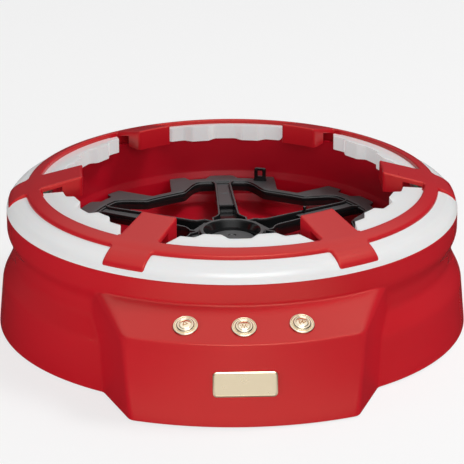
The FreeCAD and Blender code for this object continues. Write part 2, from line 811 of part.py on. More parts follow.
def table_spoke(top):
    """One spoke: a tapering channel with two side walls, a deck and a pocket near the hub."""
    outer_reach = size("wave_crest_radius") + 1.0
    inner_reach = size("hub_radius") - 1.5
    wide_in = size("spoke_inner_half_width")
    wide_out = size("spoke_outer_half_width")

    def strip(trim, foot, head):
        corners = [
            FreeCAD.Vector(inner_reach, -(wide_in - trim), foot),
            FreeCAD.Vector(outer_reach, -(wide_out - trim), foot),
            FreeCAD.Vector(outer_reach, wide_out - trim, foot),
            FreeCAD.Vector(inner_reach, wide_in - trim, foot),
        ]
        outline = Part.makePolygon(corners + corners[:1])
        return Part.Face(outline).extrude(FreeCAD.Vector(0, 0, head - foot))

    foot = top - size("table_rib")
    rib = size("table_rib_wall")
    solid = strip(0.0, foot, top)
    hollow = strip(rib, foot - 1, top - size("table_flange"))
    pocket_half = wide_in - rib - 0.8
    pocket = block((inner_reach + 10, -pocket_half, foot), (inner_reach + 34, pocket_half, top + 1))
    return solid.cut(hollow).cut(pocket)


def table_clip(top):
    """An upright paper clip with a square hole, standing on a rim tab."""
    reach = size("clip_radius")
    half = size("clip_half_width")
    thick = size("clip_thick")
    tall = size("clip_height")
    plate = block((reach, -half, top - 1.0), (reach + thick, half, top + tall))
    window = block((reach - 1, -1.7, top + tall - 6.2), (reach + thick + 1, 1.7, top + tall - 1.8))
    clip = plate.cut(window)
    clip.Placement = about_axis(-size("clip_angle"))
    return clip


def table_hub(top):
    """The hub: a deep ring wall, its floor, a webbed collar and the boss on the spindle."""
    radius = size("hub_radius")
    floor = size("hub_floor_height")
    web = size("hub_web_height")
    wall = tube(radius, radius - size("hub_wall"), web, top)
    deck = tube(radius + 7.0, radius - 1.0, top - size("table_flange") - 0.4, top - 0.4)
    base = tube(radius - 0.5, size("spindle_radius") + size("seat_gap"), web, floor)
    boss = tube(size("hub_boss_radius"), size("spindle_radius") + size("seat_gap"),
                size("hub_foot_height"), floor)
    return [wall, deck, base, boss]


def turntable():
    """The black paper holder: wavy rim rib, flange and lobes on six spokes, with three clips."""
    top = size("table_height")
    flange_foot = top - size("table_flange")
    rib = wavy_ring(0.0, size("table_rib_wall"), top - size("table_rib"), top)
    flange = wavy_ring(0.5, size("flange_width"), flange_foot, top)
    shapes = [rib, flange] + table_hub(top)
    for index in range(6):
        turn = about_axis(60.0 * index)
        for shape in table_tabs(top, flange_foot) + [table_spoke(top)]:
            shape.Placement = turn.multiply(shape.Placement)
            shapes.append(shape)
    for index in range(3):
        turn = about_axis(120.0 * index)
        clip = table_clip(top)
        clip.Placement = turn.multiply(clip.Placement)
        pin = Part.makeCylinder(size("pin_radius"), 4.0, FreeCAD.Vector(size("pin_reach"), 0, top - 1))
        pin.translate(FreeCAD.Vector(0, size("spoke_outer_half_width") - 0.6, 0))
        pin.Placement = about_axis(120.0 * index - 60.0).multiply(pin.Placement)
        shapes += [clip, pin]
    whole = fused(shapes)
    return place_at(plain_piece("turntable", whole), about_axis(90.0 + size("spoke_turn")))


def hub_cap():
    """The cap in the hub's dish: a shallow dome over the screw, with three small holes."""
    foot = size("hub_floor_height") + size("seat_gap")
    cap = tube(size("cap_radius"), 0, foot, foot + size("cap_thick"))
    rim_edge = max(cap.Edges, key=lambda edge: edge.CenterOfMass.z)
    cap = cap.makeChamfer(1.0, [rim_edge])
    cap = cap.cut(tube(6.0, 0, foot - 1, foot + 2.2))
    hole = Part.makeCylinder(1.2, 6.0, FreeCAD.Vector(0, 0, foot - 1))
    for place in ring_places(10.5, 3, 90.0):
        copy = hole.copy()
        copy.Placement = place.multiply(copy.Placement)
        cap = cap.cut(copy)
    return plain_piece("hub_cap", cap)


def hub_screw():
    screw = screw_shape(8.0, size("screw_radius"), 4.5, 1.9)
    screw.translate(FreeCAD.Vector(0, 0, size("hub_floor_height") + size("seat_gap")))
    return plain_piece("hub_screw", screw)


# Spindle and drive

def spindle():
    """The turntable's shaft, with a groove for the clip and a bore for the hub screw."""
    groove = "spindle_foot + 1.5"
    return turned_piece("spindle", [
        ("0", "spindle_foot"),
        ("spindle_radius - 0.4", "spindle_foot"),
        ("spindle_radius", "spindle_foot + 0.4"),
        ("spindle_radius", groove),
        ("spindle_radius - 0.5", groove),
        ("spindle_radius - 0.5", f"{groove} + 0.9"),
        ("spindle_radius", f"{groove} + 0.9"),
        ("spindle_radius", "spindle_top"),
        ("screw_radius + seat_gap", "spindle_top"),
        ("screw_radius + seat_gap", "spindle_top - 9"),
        ("0", "spindle_top - 9"),
    ])


def flanged_bush(label, flange_foot, flange_top, foot, top):
    """A bush with a running bore for the spindle and one flange."""
    body = new_body(label)
    turned(body, label + "_sleeve", [
        ("spindle_radius + running_gap", foot), ("bush_radius", foot),
        ("bush_radius", top), ("spindle_radius + running_gap", top),
    ])
    turned(body, label + "_flange", [
        ("spindle_radius + running_gap", flange_foot), ("bush_flange_radius", flange_foot),
        ("bush_flange_radius", flange_top), ("spindle_radius + running_gap", flange_top),
    ])
    return body


def upper_bush():
    seat = "bowl_boss_height + seat_gap"
    return flanged_bush("upper_bush", seat, f"{seat} + 1", "gear_foot + gear_thick + 1", f"{seat} + 1")


def lower_bush():
    seat = "plate_foot - seat_gap"
    return flanged_bush("lower_bush", f"{seat} - 1", seat, f"{seat} - 1", "plate_foot + plate_thick + 1.2")


def spindle_clip():
    """The open retaining ring in the spindle's groove."""
    foot = size("spindle_foot") + 1.5 + size("seat_gap")
    ring = tube(size("spindle_radius") + 1.8, size("spindle_radius") - 0.5 + size("seat_gap"), foot, foot + 0.8)
    gap = block((0, -1.2, foot - 1), (8, 1.2, foot + 2))
    return plain_piece("spindle_clip", ring.cut(gap))


def gear_blank(teeth, foot, thick, first_angle):
    """A spur gear: straight-sided teeth with a little backlash on a disc, as one outline."""
    module = size("gear_module")
    pitch = module * teeth / 2
    crown = pitch + module * 0.85
    root = pitch - module * 1.15
    step = 360.0 / teeth
    # each tooth as shares of its pitch, from its left foot to its right foot
    shares = ((-0.36, root), (-0.115, crown), (0.115, crown), (0.36, root))
    points = []
    for index in range(teeth):
        for share, radius in shares:
            angle = math.radians(first_angle + (index + share) * step)
            points.append(FreeCAD.Vector(radius * math.cos(angle), radius * math.sin(angle), foot))
    outline = Part.makePolygon(points + points[:1])
    return Part.Face(outline).extrude(FreeCAD.Vector(0, 0, thick))


def gear_distance():
    return size("gear_module") * (size("gear_teeth") + size("pinion_teeth")) / 2


def drive_gear():
    """The large gear on the spindle, thinned between hub and teeth."""
    foot = size("gear_foot")
    thick = size("gear_thick")
    gear = gear_blank(int(size("gear_teeth")), foot, thick, 0.0)
    rim = size("gear_module") * size("gear_teeth") / 2 - 4.0
    recess = tube(rim, 7.0, foot + thick - 1.4, foot + thick + 1)
    bore = Part.makeCylinder(size("spindle_radius") + size("seat_gap"), 20, FreeCAD.Vector(0, 0, foot - 5))
    window = Part.makeCylinder(2.6, 20, FreeCAD.Vector(0, 0, foot - 5))
    gear = gear.cut(recess).cut(bore)
    for place in ring_places(11.0, 6, 30.0):
        copy = window.copy()
        copy.Placement = place.multiply(copy.Placement)
        gear = gear.cut(copy)
    return plain_piece("drive_gear", gear)


def motor_pinion():
    """The small gear on the motor's shaft: a tooth gap faces the large gear's tooth."""
    teeth = int(size("pinion_teeth"))
    foot = size("gear_foot") - 0.2
    pinion = gear_blank(teeth, foot, size("gear_thick") + 0.2, 180.0 + 180.0 / teeth)
    bore = Part.makeCylinder(size("motor_shaft_radius") + 0.02, 20, FreeCAD.Vector(0, 0, foot - 5))
    pinion = pinion.cut(bore)
    pinion.translate(FreeCAD.Vector(gear_distance(), 0, 0))
    return plain_piece("motor_pinion", pinion)


def motor_shaft():
    foot = size("plate_foot") - 11.0
    shaft = tube(size("motor_shaft_radius"), 0, foot, size("gear_foot") + size("gear_thick") - 0.3)
    shaft.translate(FreeCAD.Vector(gear_distance(), 0, 0))
    return plain_piece("motor_shaft", shaft)


def motor_screw_places(height):
    reach = gear_distance()
    aside = size("motor_screw_reach")
    spots = [FreeCAD.Vector(reach, side * aside, height) for side in (-1, 1)]
    return [FreeCAD.Placement(spot, FreeCAD.Rotation()) for spot in spots]


def drive_motor():
    """The motor's steel can, with two flats, a locating boss and a shaft bore."""
    foot = size("motor_foot") + size("motor_cap_thick")
    top = size("plate_foot") - size("seat_gap")
    radius = size("motor_radius")
    can = Part.makeCylinder(radius, top - foot, FreeCAD.Vector(0, 0, foot))
    top_edge = max(can.Edges, key=lambda edge: edge.CenterOfMass.z)
    can = can.makeFillet(0.9, [top_edge])
    boss = Part.makeCylinder(size("motor_boss_radius"), top - foot + 1.0, FreeCAD.Vector(0, 0, foot))
    can = fused([can, boss])
    for side in (-1, 1):
        low = min(side * (radius - size("motor_flat")), side * (radius + 4))
        can = can.cut(block((low, -20, 0), (low + 6.4, 20, top + 5)))
    bore = Part.makeCylinder(size("motor_shaft_radius") + size("running_gap"), 30,
                             FreeCAD.Vector(0, 0, top - 12.0))
    can = can.cut(bore)
    can.translate(FreeCAD.Vector(gear_distance(), 0, 0))
    hole = Part.makeCylinder(size("motor_screw_radius") + size("seat_gap"), 4.0)
    holes = group_of(hole, motor_screw_places(top - 3.5))
    return plain_piece("drive_motor", can.cut(holes))


def motor_end_cap():
    """The motor's plastic end with its two terminals, let into the can's foot."""
    foot = size("motor_foot")
    radius = size("motor_radius")
    thick = size("motor_cap_thick") - size("seat_gap")
    cap = Part.makeCylinder(radius - 0.1, thick, FreeCAD.Vector(0, 0, foot))
    for side in (-1, 1):
        low = min(side * (radius - size("motor_flat")), side * (radius + 4))
        cap = cap.cut(block((low, -20, 0), (low + 6.4, 20, foot + 5)))
    terminals = [block((-1.0, side * 9.4 - 0.2, foot - 1.2), (1.0, side * 9.4 + 0.2, foot + 0.5))
                 for side in (-1, 1)]
    cap = fused([cap] + terminals)
    cap.translate(FreeCAD.Vector(gear_distance(), 0, 0))
    return plain_piece("motor_end_cap", cap)


def motor_screws():
    screw = screw_shape(4.8, size("motor_screw_radius"), 2.0, 1.2)
    height = size("plate_foot") + size("plate_thick") + size("seat_gap")
    return plain_piece("motor_screws", group_of(screw, motor_screw_places(height)))


def drive_plate():
    """The round steel plate under the bowl that carries the motor and the lower bush."""
    body = new_body("drive_plate")
    disc = circles(body, "disc_outline", [("0", "0")], "plate_radius", "plate_foot")
    raised(body, "disc", disc, "plate_thick")
    distance = "(gear_module * (gear_teeth + pinion_teeth) / 2)"
    top = "plate_foot + plate_thick + 1"
    holes = (
        ("bush_hole", [("0", "0")], "bush_radius + seat_gap"),
        ("boss_hole", [(distance, "0")], "motor_boss_radius + seat_gap"),
        ("motor_screw_holes", [(distance, "0 - motor_screw_reach"), (distance, "motor_screw_reach")],
         "motor_screw_radius + seat_gap"),
    )
    for name, places, radius in holes:
        sunk(body, name, circles(body, name + "_outline", places, radius, top), "8")
    spot = [("post_pitch_radius * cos(60)", "post_pitch_radius * sin(60)")]
    hole_sketch = circles(body, "post_hole_outline", spot, "screw_radius + seat_gap", top)
    hole = sunk(body, "post_hole", hole_sketch, "8")
    round_pattern(body, "post_holes", [hole], "3")
    return body


def plate_screws():
    screw = screw_shape(7.0, size("screw_radius"), size("screw_head_radius"), size("screw_head_height"))
    upside_down = FreeCAD.Placement(FreeCAD.Vector(0, 0, 0), FreeCAD.Rotation(FreeCAD.Vector(1, 0, 0), 180))
    places = ring_places(size("post_pitch_radius"), 3, 60.0, size("plate_foot") - size("seat_gap"))
    return plain_piece("plate_screws", group_of(screw, [place.multiply(upside_down) for place in places]))


def bowl_screws():
    screw = screw_shape(6.0, size("screw_radius"), size("screw_head_radius"), size("screw_head_height"))
    height = size("rim_height") - size("seat_drop") + size("bowl_wall") + size("seat_gap")
    return plain_piece("bowl_screws", group_of(screw, bowl_screw_places(height)))


# Controls

def button_bezels():
    """Three flanged rings, each with a neck in its hole in the sloping face."""
    bore = size("button_radius") + size("button_gap")
    neck = tube(bore + size("neck_wall"), bore, 0.1 - size("collar_top"), 0.6)
    flange = tube(size("bezel_radius"), bore, 0.25, 1.15)
    crown_edge = max(flange.Edges, key=lambda edge: edge.CenterOfMass.z + edge.Length / 1000)
    flange = flange.makeChamfer(0.5, [crown_edge])
    return plain_piece("button_bezels", group_of(fused([neck, flange]), button_places()))


def stem_reach(turn):
    """The way down a button's axis to the switch, for a button turned from the middle by an angle."""
    slope = "atan((rim_height - rim_band - crease_height) / (crease_radius - rim_radius))"
    drop = f"button_pitch_radius * (1 - cos({turn})) * sin({slope})"
    slant = f"(sin({slope}) * sin({slope}) * cos({turn}) + cos({slope}) * cos({slope}))"
    return f"((board_depth - switch_height - {drop}) / {slant})"


def button(label, placement, turn):
    """A push button: domed cap, barrel, retaining collar and the stem that works the switch."""
    body = new_body(label)
    tip = f"button_travel + stem_gap - {stem_reach(turn)}"
    turned(body, label + "_turn", [
        ("0", "button_proud"),
        ("button_radius * 0.45", "button_proud - 0.2"),
        ("button_radius * 0.8", "button_proud - 0.75"),
        ("button_radius", "button_proud - 1.5"),
        ("button_radius", "0 - collar_top"),
        ("button_radius + button_gap + collar_reach", "0 - collar_top"),
        ("button_radius + button_gap + collar_reach", "0 - collar_foot"),
        ("stem_radius", "0 - collar_foot"),
        ("stem_radius", tip),
        ("0", tip),
    ])
    return place_at(body, placement)


def switch_offsets():
    """Where each button's axis meets the level of the switch tops, in the board's own frame."""
    offsets = []
    middle = slope_placement(0.0)
    level = size("board_depth") - size("switch_height")
    for place in button_places():
        local = middle.inverse().multiply(place)
        start = local.Base
        way = local.Rotation.multVec(FreeCAD.Vector(0, 0, 1))
        travel = (start.z + level) / way.z
        offsets.append(start - way * travel)
    return offsets


def control_board():
    """The flat board behind the sloping face."""
    half_long = size("board_half_length")
    half_wide = size("board_half_width")
    top = -size("board_depth")
    board = block((-half_long, -half_wide, top - size("board_thick")), (half_long, half_wide, top))
    hole = Part.makeCylinder(size("board_screw_radius") + size("seat_gap"), 10, FreeCAD.Vector(0, 0, top - 5))
    for side in (-1, 1):
        copy = hole.copy()
        copy.translate(FreeCAD.Vector(side * size("board_post_reach"), 0, 0))
        board = board.cut(copy)
    return place_at(plain_piece("control_board", board), slope_placement(0.0))


def tact_switches():
    """Three small switches under the buttons' stems: a square case and a round plunger."""
    top = -size("board_depth") + size("seat_gap")
    half = size("switch_half_width")
    case = block((-half, -half, top), (half, half, top + size("switch_case_height")))
    tall = size("switch_height") - size("seat_gap")
    plunger = Part.makeCylinder(size("plunger_radius"), tall, FreeCAD.Vector(0, 0, top))
    switch = fused([case, plunger])
    middle = slope_placement(0.0)
    places = []
    for offset in switch_offsets():
        shift = FreeCAD.Placement(FreeCAD.Vector(offset.x, offset.y, 0), FreeCAD.Rotation())
        places.append(middle.multiply(shift))
    return plain_piece("tact_switches", group_of(switch, places))


def board_screws():
    screw = screw_shape(5.5, size("board_screw_radius"), 2.2, 1.4)
    upside_down = FreeCAD.Placement(FreeCAD.Vector(0, 0, 0), FreeCAD.Rotation(FreeCAD.Vector(1, 0, 0), 180))
    places = []
    for side in (-1, 1):
        drop = -size("board_depth") - size("board_thick") - size("seat_gap")
        shift = FreeCAD.Placement(FreeCAD.Vector(side * size("board_post_reach"), 0, drop), FreeCAD.Rotation())
        places.append(slope_placement(0.0).multiply(shift).multiply(upside_down))
    return plain_piece("board_screws", group_of(screw, places))


def nameplate():
    """The bare plate: bevelled edges, rounded corners, in its flat seat."""
    half_wide = size("plate_width") / 2
    half_tall = size("plate_tall") / 2
    foot = -size("plate_sink") + size("seat_gap")
    plate = block((-half_wide, -half_tall, foot), (half_wide, half_tall, foot + size("plate_depth")))
    upright = [edge for edge in plate.Edges if edge.BoundBox.ZLength > size("plate_depth") / 2]
    plate = plate.makeFillet(size("plate_corner"), upright)
    front_face = max(plate.Faces, key=lambda face: face.CenterOfMass.z)
    plate = plate.makeChamfer(size("plate_bevel"), front_face.Edges)
    return place_at(plain_piece("nameplate", plate), plate_placement())


# Base, batteries and fasteners

def box_half_width():
    return size("cell_pitch") * size("cell_count") / 2 + 0.4


def box_half_length():
    return (size("cell_length") + size("box_end_room")) / 2


def cover_form():
    """The cover's plate: a disc joined to the panel's wedge, inside the skirt."""
    foot = "foot_gap"
    disc = new_body("cover_disc")
    inside = "skirt_radius - shell_wall - cover_gap"
    disc_sketch = circles(disc, "cover_disc_outline", [("0", "0")], inside, foot)
    raised(disc, "cover_disc_pad", disc_sketch, "cover_thick")
    fan = new_body("cover_fan")
    reach = "panel_radius - shell_wall - cover_gap - 0.4"
    fan_sketch = circles(fan, "cover_fan_outline", [("0", "0")], reach, foot)
    raised(fan, "cover_fan_pad", fan_sketch, "cover_thick")
    wedge = raised_piece("cover_wedge", panel_wedge("(shell_wall + cover_gap)"), foot, "cover_thick")
    front = combined("Common", "cover_front", fan, wedge)
    return combined("Fuse", "cover_form", disc, front)


def foot_places():
    """Five feet round the skirt and two near the panel's front corners."""
    places = ring_places(size("skirt_radius") - size("side_foot_inset"), 5, -30.0, 0.0, 300.0)
    for angle in (-90.0 - size("front_foot_angle"), -90.0 + size("front_foot_angle")):
        reach = size("panel_radius") - size("front_foot_inset")
        shift = FreeCAD.Placement(FreeCAD.Vector(reach, 0, 0), FreeCAD.Rotation())
        places.append(about_axis(angle).multiply(shift))
    return places


def cover_additions():
    """The battery box's walls and roof, and the block behind the door's tab."""
    centre = size("box_centre")
    half_wide = box_half_width() + size("box_wall")
    half_long = box_half_length() + size("box_wall")
    foot = size("foot_gap")
    roof = foot + size("cover_thick") + 2 * size("cell_radius") + 4.2
    box = block((-half_wide, centre - half_long, foot), (half_wide, centre + half_long, roof))
    tab_half = size("tab_half_width")
    tab_reach = size("tab_reach")
    mount = block((-tab_half - 3, centre + half_long - 1, foot),
                  (tab_half + 3, centre + half_long + tab_reach + 2, foot + 10.0))
    return box.fuse(mount)


def cover_removals():
    """The cells' room, the door's recess, screw holes and the feet's recesses."""
    centre = size("box_centre")
    foot = size("foot_gap")
    wide = box_half_width()
    long = box_half_length()
    ceiling = foot + size("cover_thick") + 2 * size("cell_radius") + 2.2
    room = block((-wide, centre - long, foot - 1), (wide, centre + long, ceiling))
    lip = size("box_wall") / 2
    recess_top = foot + size("door_thick") + 2 * size("seat_gap")
    recess = block((-wide - lip, centre - long - lip, foot - 1), (wide + lip, centre + long + lip, recess_top))
    tab_half = size("tab_half_width")
    tab_reach = size("tab_reach")
    tab_end = centre + long + size("box_wall") + tab_reach
    tab = block((-tab_half, centre + long, foot - 1), (tab_half, tab_end, recess_top))
    tab_hole = Part.makeCylinder(size("screw_radius") + size("seat_gap"), 9.0,
                                 FreeCAD.Vector(0, door_screw_reach(), foot - 1))
    screw_hole = Part.makeCylinder(size("screw_radius") + size("seat_gap"), 12.0, FreeCAD.Vector(0, 0, -3))
    screw_holes = group_of(screw_hole, cover_screw_places(0.0)).Solids
    foot_recess = Part.makeCylinder(size("foot_radius") + 0.2, 3.0,
                                    FreeCAD.Vector(0, 0, foot + size("foot_sink") - 3))
    foot_recesses = group_of(foot_recess, foot_places()).Solids
    return Part.makeCompound([room, recess, tab, tab_hole] + screw_holes + foot_recesses)


def bottom_cover():
    """The plate that closes the base, with the battery box standing on it."""
    additions = plain_piece("cover_additions_form", cover_additions())
    whole = combined("Fuse", "cover_whole", cover_form(), additions)
    removals = plain_piece("cover_removals_form", cover_removals())
    return named(combined("Cut", "bottom_cover", whole, removals), "bottom_cover")


def door_screw_reach():
    return size("box_centre") + box_half_length() + size("box_wall") + size("tab_reach") / 2 + 1.0


def battery_door():
    """The door with its screw tab and a row of grip ribs."""
    centre = size("box_centre")
    gap = size("door_gap")
    lip = size("box_wall") / 2 - gap
    wide = box_half_width() + lip
    long = box_half_length() + lip
    foot = size("foot_gap") + 0.05
    top = foot + size("door_thick")
    leaf = block((-wide, centre - long, foot), (wide, centre + long, top))
    tab_half = size("tab_half_width")
    tab_reach = size("tab_reach")
    tab = block((-tab_half + gap, centre + long - 1, foot),
                (tab_half - gap, centre + box_half_length() + size("box_wall") + tab_reach - gap, top))
    door = leaf.fuse(tab).removeSplitter()
    reach = door_screw_reach()
    hole = Part.makeCylinder(size("screw_radius") + size("seat_gap"), 9, FreeCAD.Vector(0, reach, foot - 2))
    sink = Part.makeCylinder(size("screw_head_radius") + 0.3, 3, FreeCAD.Vector(0, reach, foot - 3 + 1.2))
    door = door.cut(hole).cut(sink)
    for index in range(6):
        across = -10.0 + 4.0 * index
        near = centre - long + 6
        groove = block((across - 0.6, near, foot - 1), (across + 0.6, near + 12, foot + 0.5))
        door = door.cut(groove)
    return plain_piece("battery_door", door)


def door_screw():
    """The door's screw, driven from below."""
    screw = screw_shape(5.0, size("screw_radius"), size("screw_head_radius"), 1.0)
    turn = FreeCAD.Rotation(FreeCAD.Vector(1, 0, 0), 180)
    foot = size("foot_gap") + 0.05 + 1.2 - size("seat_gap")
    screw.Placement = FreeCAD.Placement(FreeCAD.Vector(0, door_screw_reach(), foot), turn)
    return plain_piece("door_screw", screw)


def cell_centre_height():
    return size("foot_gap") + size("cover_thick") + size("cell_radius") + 0.8


def cell_places():
    """Each cell's middle, with its nub turned to alternate ends."""
    places = []
    for index in range(int(size("cell_count"))):
        across = (index - (size("cell_count") - 1) / 2) * size("cell_pitch")
        tilt = -90.0 if index % 2 == 0 else 90.0
        turn = FreeCAD.Rotation(FreeCAD.Vector(1, 0, 0), tilt)
        places.append(FreeCAD.Placement(FreeCAD.Vector(across, size("box_centre"), cell_centre_height()), turn))
    return places


def battery_cells():
    """Four cells side by side, pushed towards their nubs by the springs."""
    length = size("cell_length")
    push = size("box_end_room") / 2 - size("spring_room")
    barrel = Part.makeCylinder(size("cell_radius"), length - 1.0, FreeCAD.Vector(0, 0, -length / 2 + push))
    barrel = barrel.makeFillet(0.8, [edge for edge in barrel.Edges if edge.Length > 10 and edge.Closed][:2])
    nub = Part.makeCylinder(2.7, 2.0, FreeCAD.Vector(0, 0, length / 2 - 2.0 + push))
    return plain_piece("battery_cells", group_of(fused([barrel, nub]), cell_places()))


def contact_plates():
    """A spring-steel plate at each end of each cell."""
    half = box_half_length()
    reach = size("contact_half_width")
    far = half - size("seat_gap")
    near = far - size("contact_thick")
    front = block((-reach, -reach, near), (reach, reach, far))
    back = block((-reach, -reach, -far), (reach, reach, -near))
    shapes = group_of(front, cell_places()).Solids + group_of(back, cell_places()).Solids
    return plain_piece("contact_plates", Part.makeCompound(shapes))


def contact_springs():
    """A tapering spring at each cell's flat end, drawn as the sleeve that its turns fill."""
    half = box_half_length()
    foot = -half + size("contact_thick") + 2 * size("seat_gap")
    top = -size("cell_length") / 2 + size("box_end_room") / 2 - size("spring_room") - size("seat_gap")
    outer = Part.makeCone(4.4, 2.8, top - foot, FreeCAD.Vector(0, 0, foot))
    inner = Part.makeCone(3.7, 2.1, top - foot, FreeCAD.Vector(0, 0, foot))
    return plain_piece("contact_springs", group_of(outer.cut(inner), cell_places()))


def cover_screws():
    screw = screw_shape(10.0, size("screw_radius"), size("screw_head_radius"), 0.8)
    upside_down = FreeCAD.Placement(FreeCAD.Vector(0, 0, 0), FreeCAD.Rotation(FreeCAD.Vector(1, 0, 0), 180))
    places = [place.multiply(upside_down) for place in cover_screw_places(size("foot_gap") - 0.02)]
    return plain_piece("cover_screws", group_of(screw, places))


def rubber_feet():
    """Round rubber pads, let into the cover and flat on the table."""
    pad = Part.makeCylinder(size("foot_radius"), size("foot_gap") + size("foot_sink") - size("seat_gap"))
    pad = pad.makeChamfer(0.4, [edge for edge in pad.Edges if edge.Closed and edge.CenterOfMass.z < 0.1])
    return plain_piece("rubber_feet", group_of(pad, foot_places()))


# Build, check and write

def build_all():
    left, middle, right = button_places()
    return [
        base_housing(), splash_bowl(), light_ring(), rim_frame(), frame_screws(), light_board(), light_leds(),
        turntable(), hub_cap(), hub_screw(), spindle(), upper_bush(), lower_bush(), spindle_clip(),
        drive_gear(), motor_pinion(), motor_shaft(), drive_motor(), motor_end_cap(), motor_screws(),
        drive_plate(), plate_screws(), bowl_screws(), button_bezels(),
        button("button_left", left, "button_step_angle"), button("button_middle", middle, "0"),
        button("button_right", right, "button_step_angle"),
        control_board(), tact_switches(), board_screws(), nameplate(),
        bottom_cover(), battery_door(), door_screw(), battery_cells(), contact_plates(), contact_springs(),
        cover_screws(), rubber_feet(),
    ]


def check_document():
    """Stops if any object failed to recompute."""
    for item in document.Objects:
        if "Invalid" in item.State or "Error" in item.State:
            raise RuntimeError(f"{item.Label} is {item.State}")


def write_pieces(pieces):
    """Checks each piece's shape, then writes it to parts/LABEL.step."""
    os.makedirs("parts", exist_ok=True)
    for piece in pieces:
        shape = piece.Shape
        if shape.isNull() or not shape.isValid() or shape.Volume <= 0:
            raise RuntimeError(f"{piece.Label} has a bad shape")
    for piece in pieces:
        piece.Shape.exportStep(f"parts/{piece.Label}.step")
        print(f"{piece.Label}: {len(piece.Shape.Solids)} solid(s), {piece.Shape.Volume / 1000:.2f} cm3")


pieces = build_all()
document.recompute()
check_document()
write_pieces(pieces)
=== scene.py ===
import logging
import math
from contextlib import contextmanager
from dataclasses import dataclass
from enum import Enum
from typing import Iterator, Sequence

import bmesh
import bpy
import numpy as np
from mathutils import Matrix, Vector


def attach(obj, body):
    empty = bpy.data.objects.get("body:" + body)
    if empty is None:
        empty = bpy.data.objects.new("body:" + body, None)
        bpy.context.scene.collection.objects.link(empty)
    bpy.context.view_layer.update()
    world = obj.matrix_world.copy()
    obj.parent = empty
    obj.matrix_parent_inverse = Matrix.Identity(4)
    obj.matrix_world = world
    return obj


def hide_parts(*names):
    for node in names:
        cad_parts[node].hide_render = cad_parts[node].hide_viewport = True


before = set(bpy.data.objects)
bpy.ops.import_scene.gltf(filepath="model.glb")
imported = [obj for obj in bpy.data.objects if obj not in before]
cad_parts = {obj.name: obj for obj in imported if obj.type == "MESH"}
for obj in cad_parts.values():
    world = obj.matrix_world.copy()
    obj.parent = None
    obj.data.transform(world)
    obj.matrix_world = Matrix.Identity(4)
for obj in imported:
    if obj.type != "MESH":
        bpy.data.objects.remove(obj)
log = logging.getLogger("spin_art_machine")

MM = 0.001
BAR_COUNT = 6
BAR_STEP = 2 * math.pi / BAR_COUNT
SPOKE_COUNT = 6
SPOKE_STEP = 2 * math.pi / SPOKE_COUNT
BUTTON_STEPS = (-1, 0, 1)
RED = ((0.505, 0.0078, 0.0175), (0.485, 0.0068, 0.0155))
WARM = (1.0, 0.95, 0.62)


class Body(Enum):
    """The moving bodies that pieces ride on."""

    BASE = "base"
    GUARD = "splash_guard"
    TURNTABLE = "turntable"
    DOOR = "battery_door"
    LEFT = "button_left"
    MIDDLE = "button_middle"
    RIGHT = "button_right"


class Wrap(Enum):
    """Which ways a grid of points closes on itself."""

    ROUND = (False, True)
    ROWS = (True, False)
    BOTH = (True, True)


# Mesh building

def smooth_min(first: np.ndarray, second: np.ndarray, blend: float | np.ndarray) -> np.ndarray:
    """The lesser of two fields, rounded where they cross.

    Formula: with h = clamp(1/2 + (b - a) / 2k), the value is b(1 - h) + a h - k h (1 - h).

    Args:
        first: One field.
        second: The other field.
        blend: k, the width of the rounding, in the fields' units.

    Returns:
        The rounded minimum, as an array.
    """
    share = np.clip(0.5 + 0.5 * (second - first) / blend, 0, 1)
    return second * (1 - share) + first * share - blend * share * (1 - share)


def smooth_max(first: np.ndarray, second: np.ndarray, blend: float | np.ndarray) -> np.ndarray:
    """The greater of two fields, rounded where they cross: minus the rounded minimum of their negatives."""
    return -smooth_min(-first, -second, blend)


def smooth_step(value: np.ndarray, low: float, high: float) -> np.ndarray:
    """A cubic ease from 0 at low to 1 at high: t t (3 - 2 t)."""
    share = np.clip((value - low) / (high - low), 0, 1)
    return share * share * (3 - 2 * share)


def bend_of(angle: np.ndarray, count: int, first: float = 0.0) -> np.ndarray:
    """The signed angle from the nearest of count evenly spaced directions, the first at an angle."""
    step = 2 * math.pi / count
    return (angle - first + step / 2) % step - step / 2


def rounded_outline(corners: Sequence[tuple[float, float, float]], steps: int = 5) -> np.ndarray:
    """A closed outline with its corners rounded by arcs.

    Formula: at each corner, tangent points lie r / tan(a / 2) along both sides, where a is the corner's
    angle, and a quadratic curve through the corner joins them.

    Args:
        corners: Corners in order, each (across, up, radius).
        steps: Points on each rounded corner, less one.

    Returns:
        Points of the outline, shape (n, 2).
    """
    places = np.array([corner[:2] for corner in corners], float)
    before = np.roll(places, 1, axis=0) - places
    after = np.roll(places, -1, axis=0) - places
    points = []
    for place, back, ahead, radius in zip(places, before, after, [corner[2] for corner in corners]):
        if radius <= 0:
            points.append(place[None])
            continue
        to_back = back / np.linalg.norm(back)
        to_ahead = ahead / np.linalg.norm(ahead)
        angle = math.acos(float(np.clip(to_back @ to_ahead, -1, 1)))
        reach = min(radius / math.tan(angle / 2), 0.49 * np.linalg.norm(back), 0.49 * np.linalg.norm(ahead))
        share = np.linspace(0, 1, steps + 1)[:, None]
        start = place + to_back * reach
        end = place + to_ahead * reach
        points.append((1 - share) ** 2 * start + 2 * share * (1 - share) * place + share ** 2 * end)
    return np.concatenate(points)


def polar(radius: np.ndarray | float, angle: np.ndarray, height: np.ndarray | float) -> np.ndarray:
    """Points (r cos t, r sin t, z) from radii, angles and heights that broadcast together."""
    radius, angle, height = np.broadcast_arrays(radius, angle, height)
    return np.stack([radius * np.cos(angle), radius * np.sin(angle), height], axis=-1)


def turned_points(outline: np.ndarray, angles: np.ndarray) -> np.ndarray:
    """Points of a surface of revolution: each (radius, height) of an outline at each angle."""
    return polar(outline[:, :1], angles, outline[:, 1:])


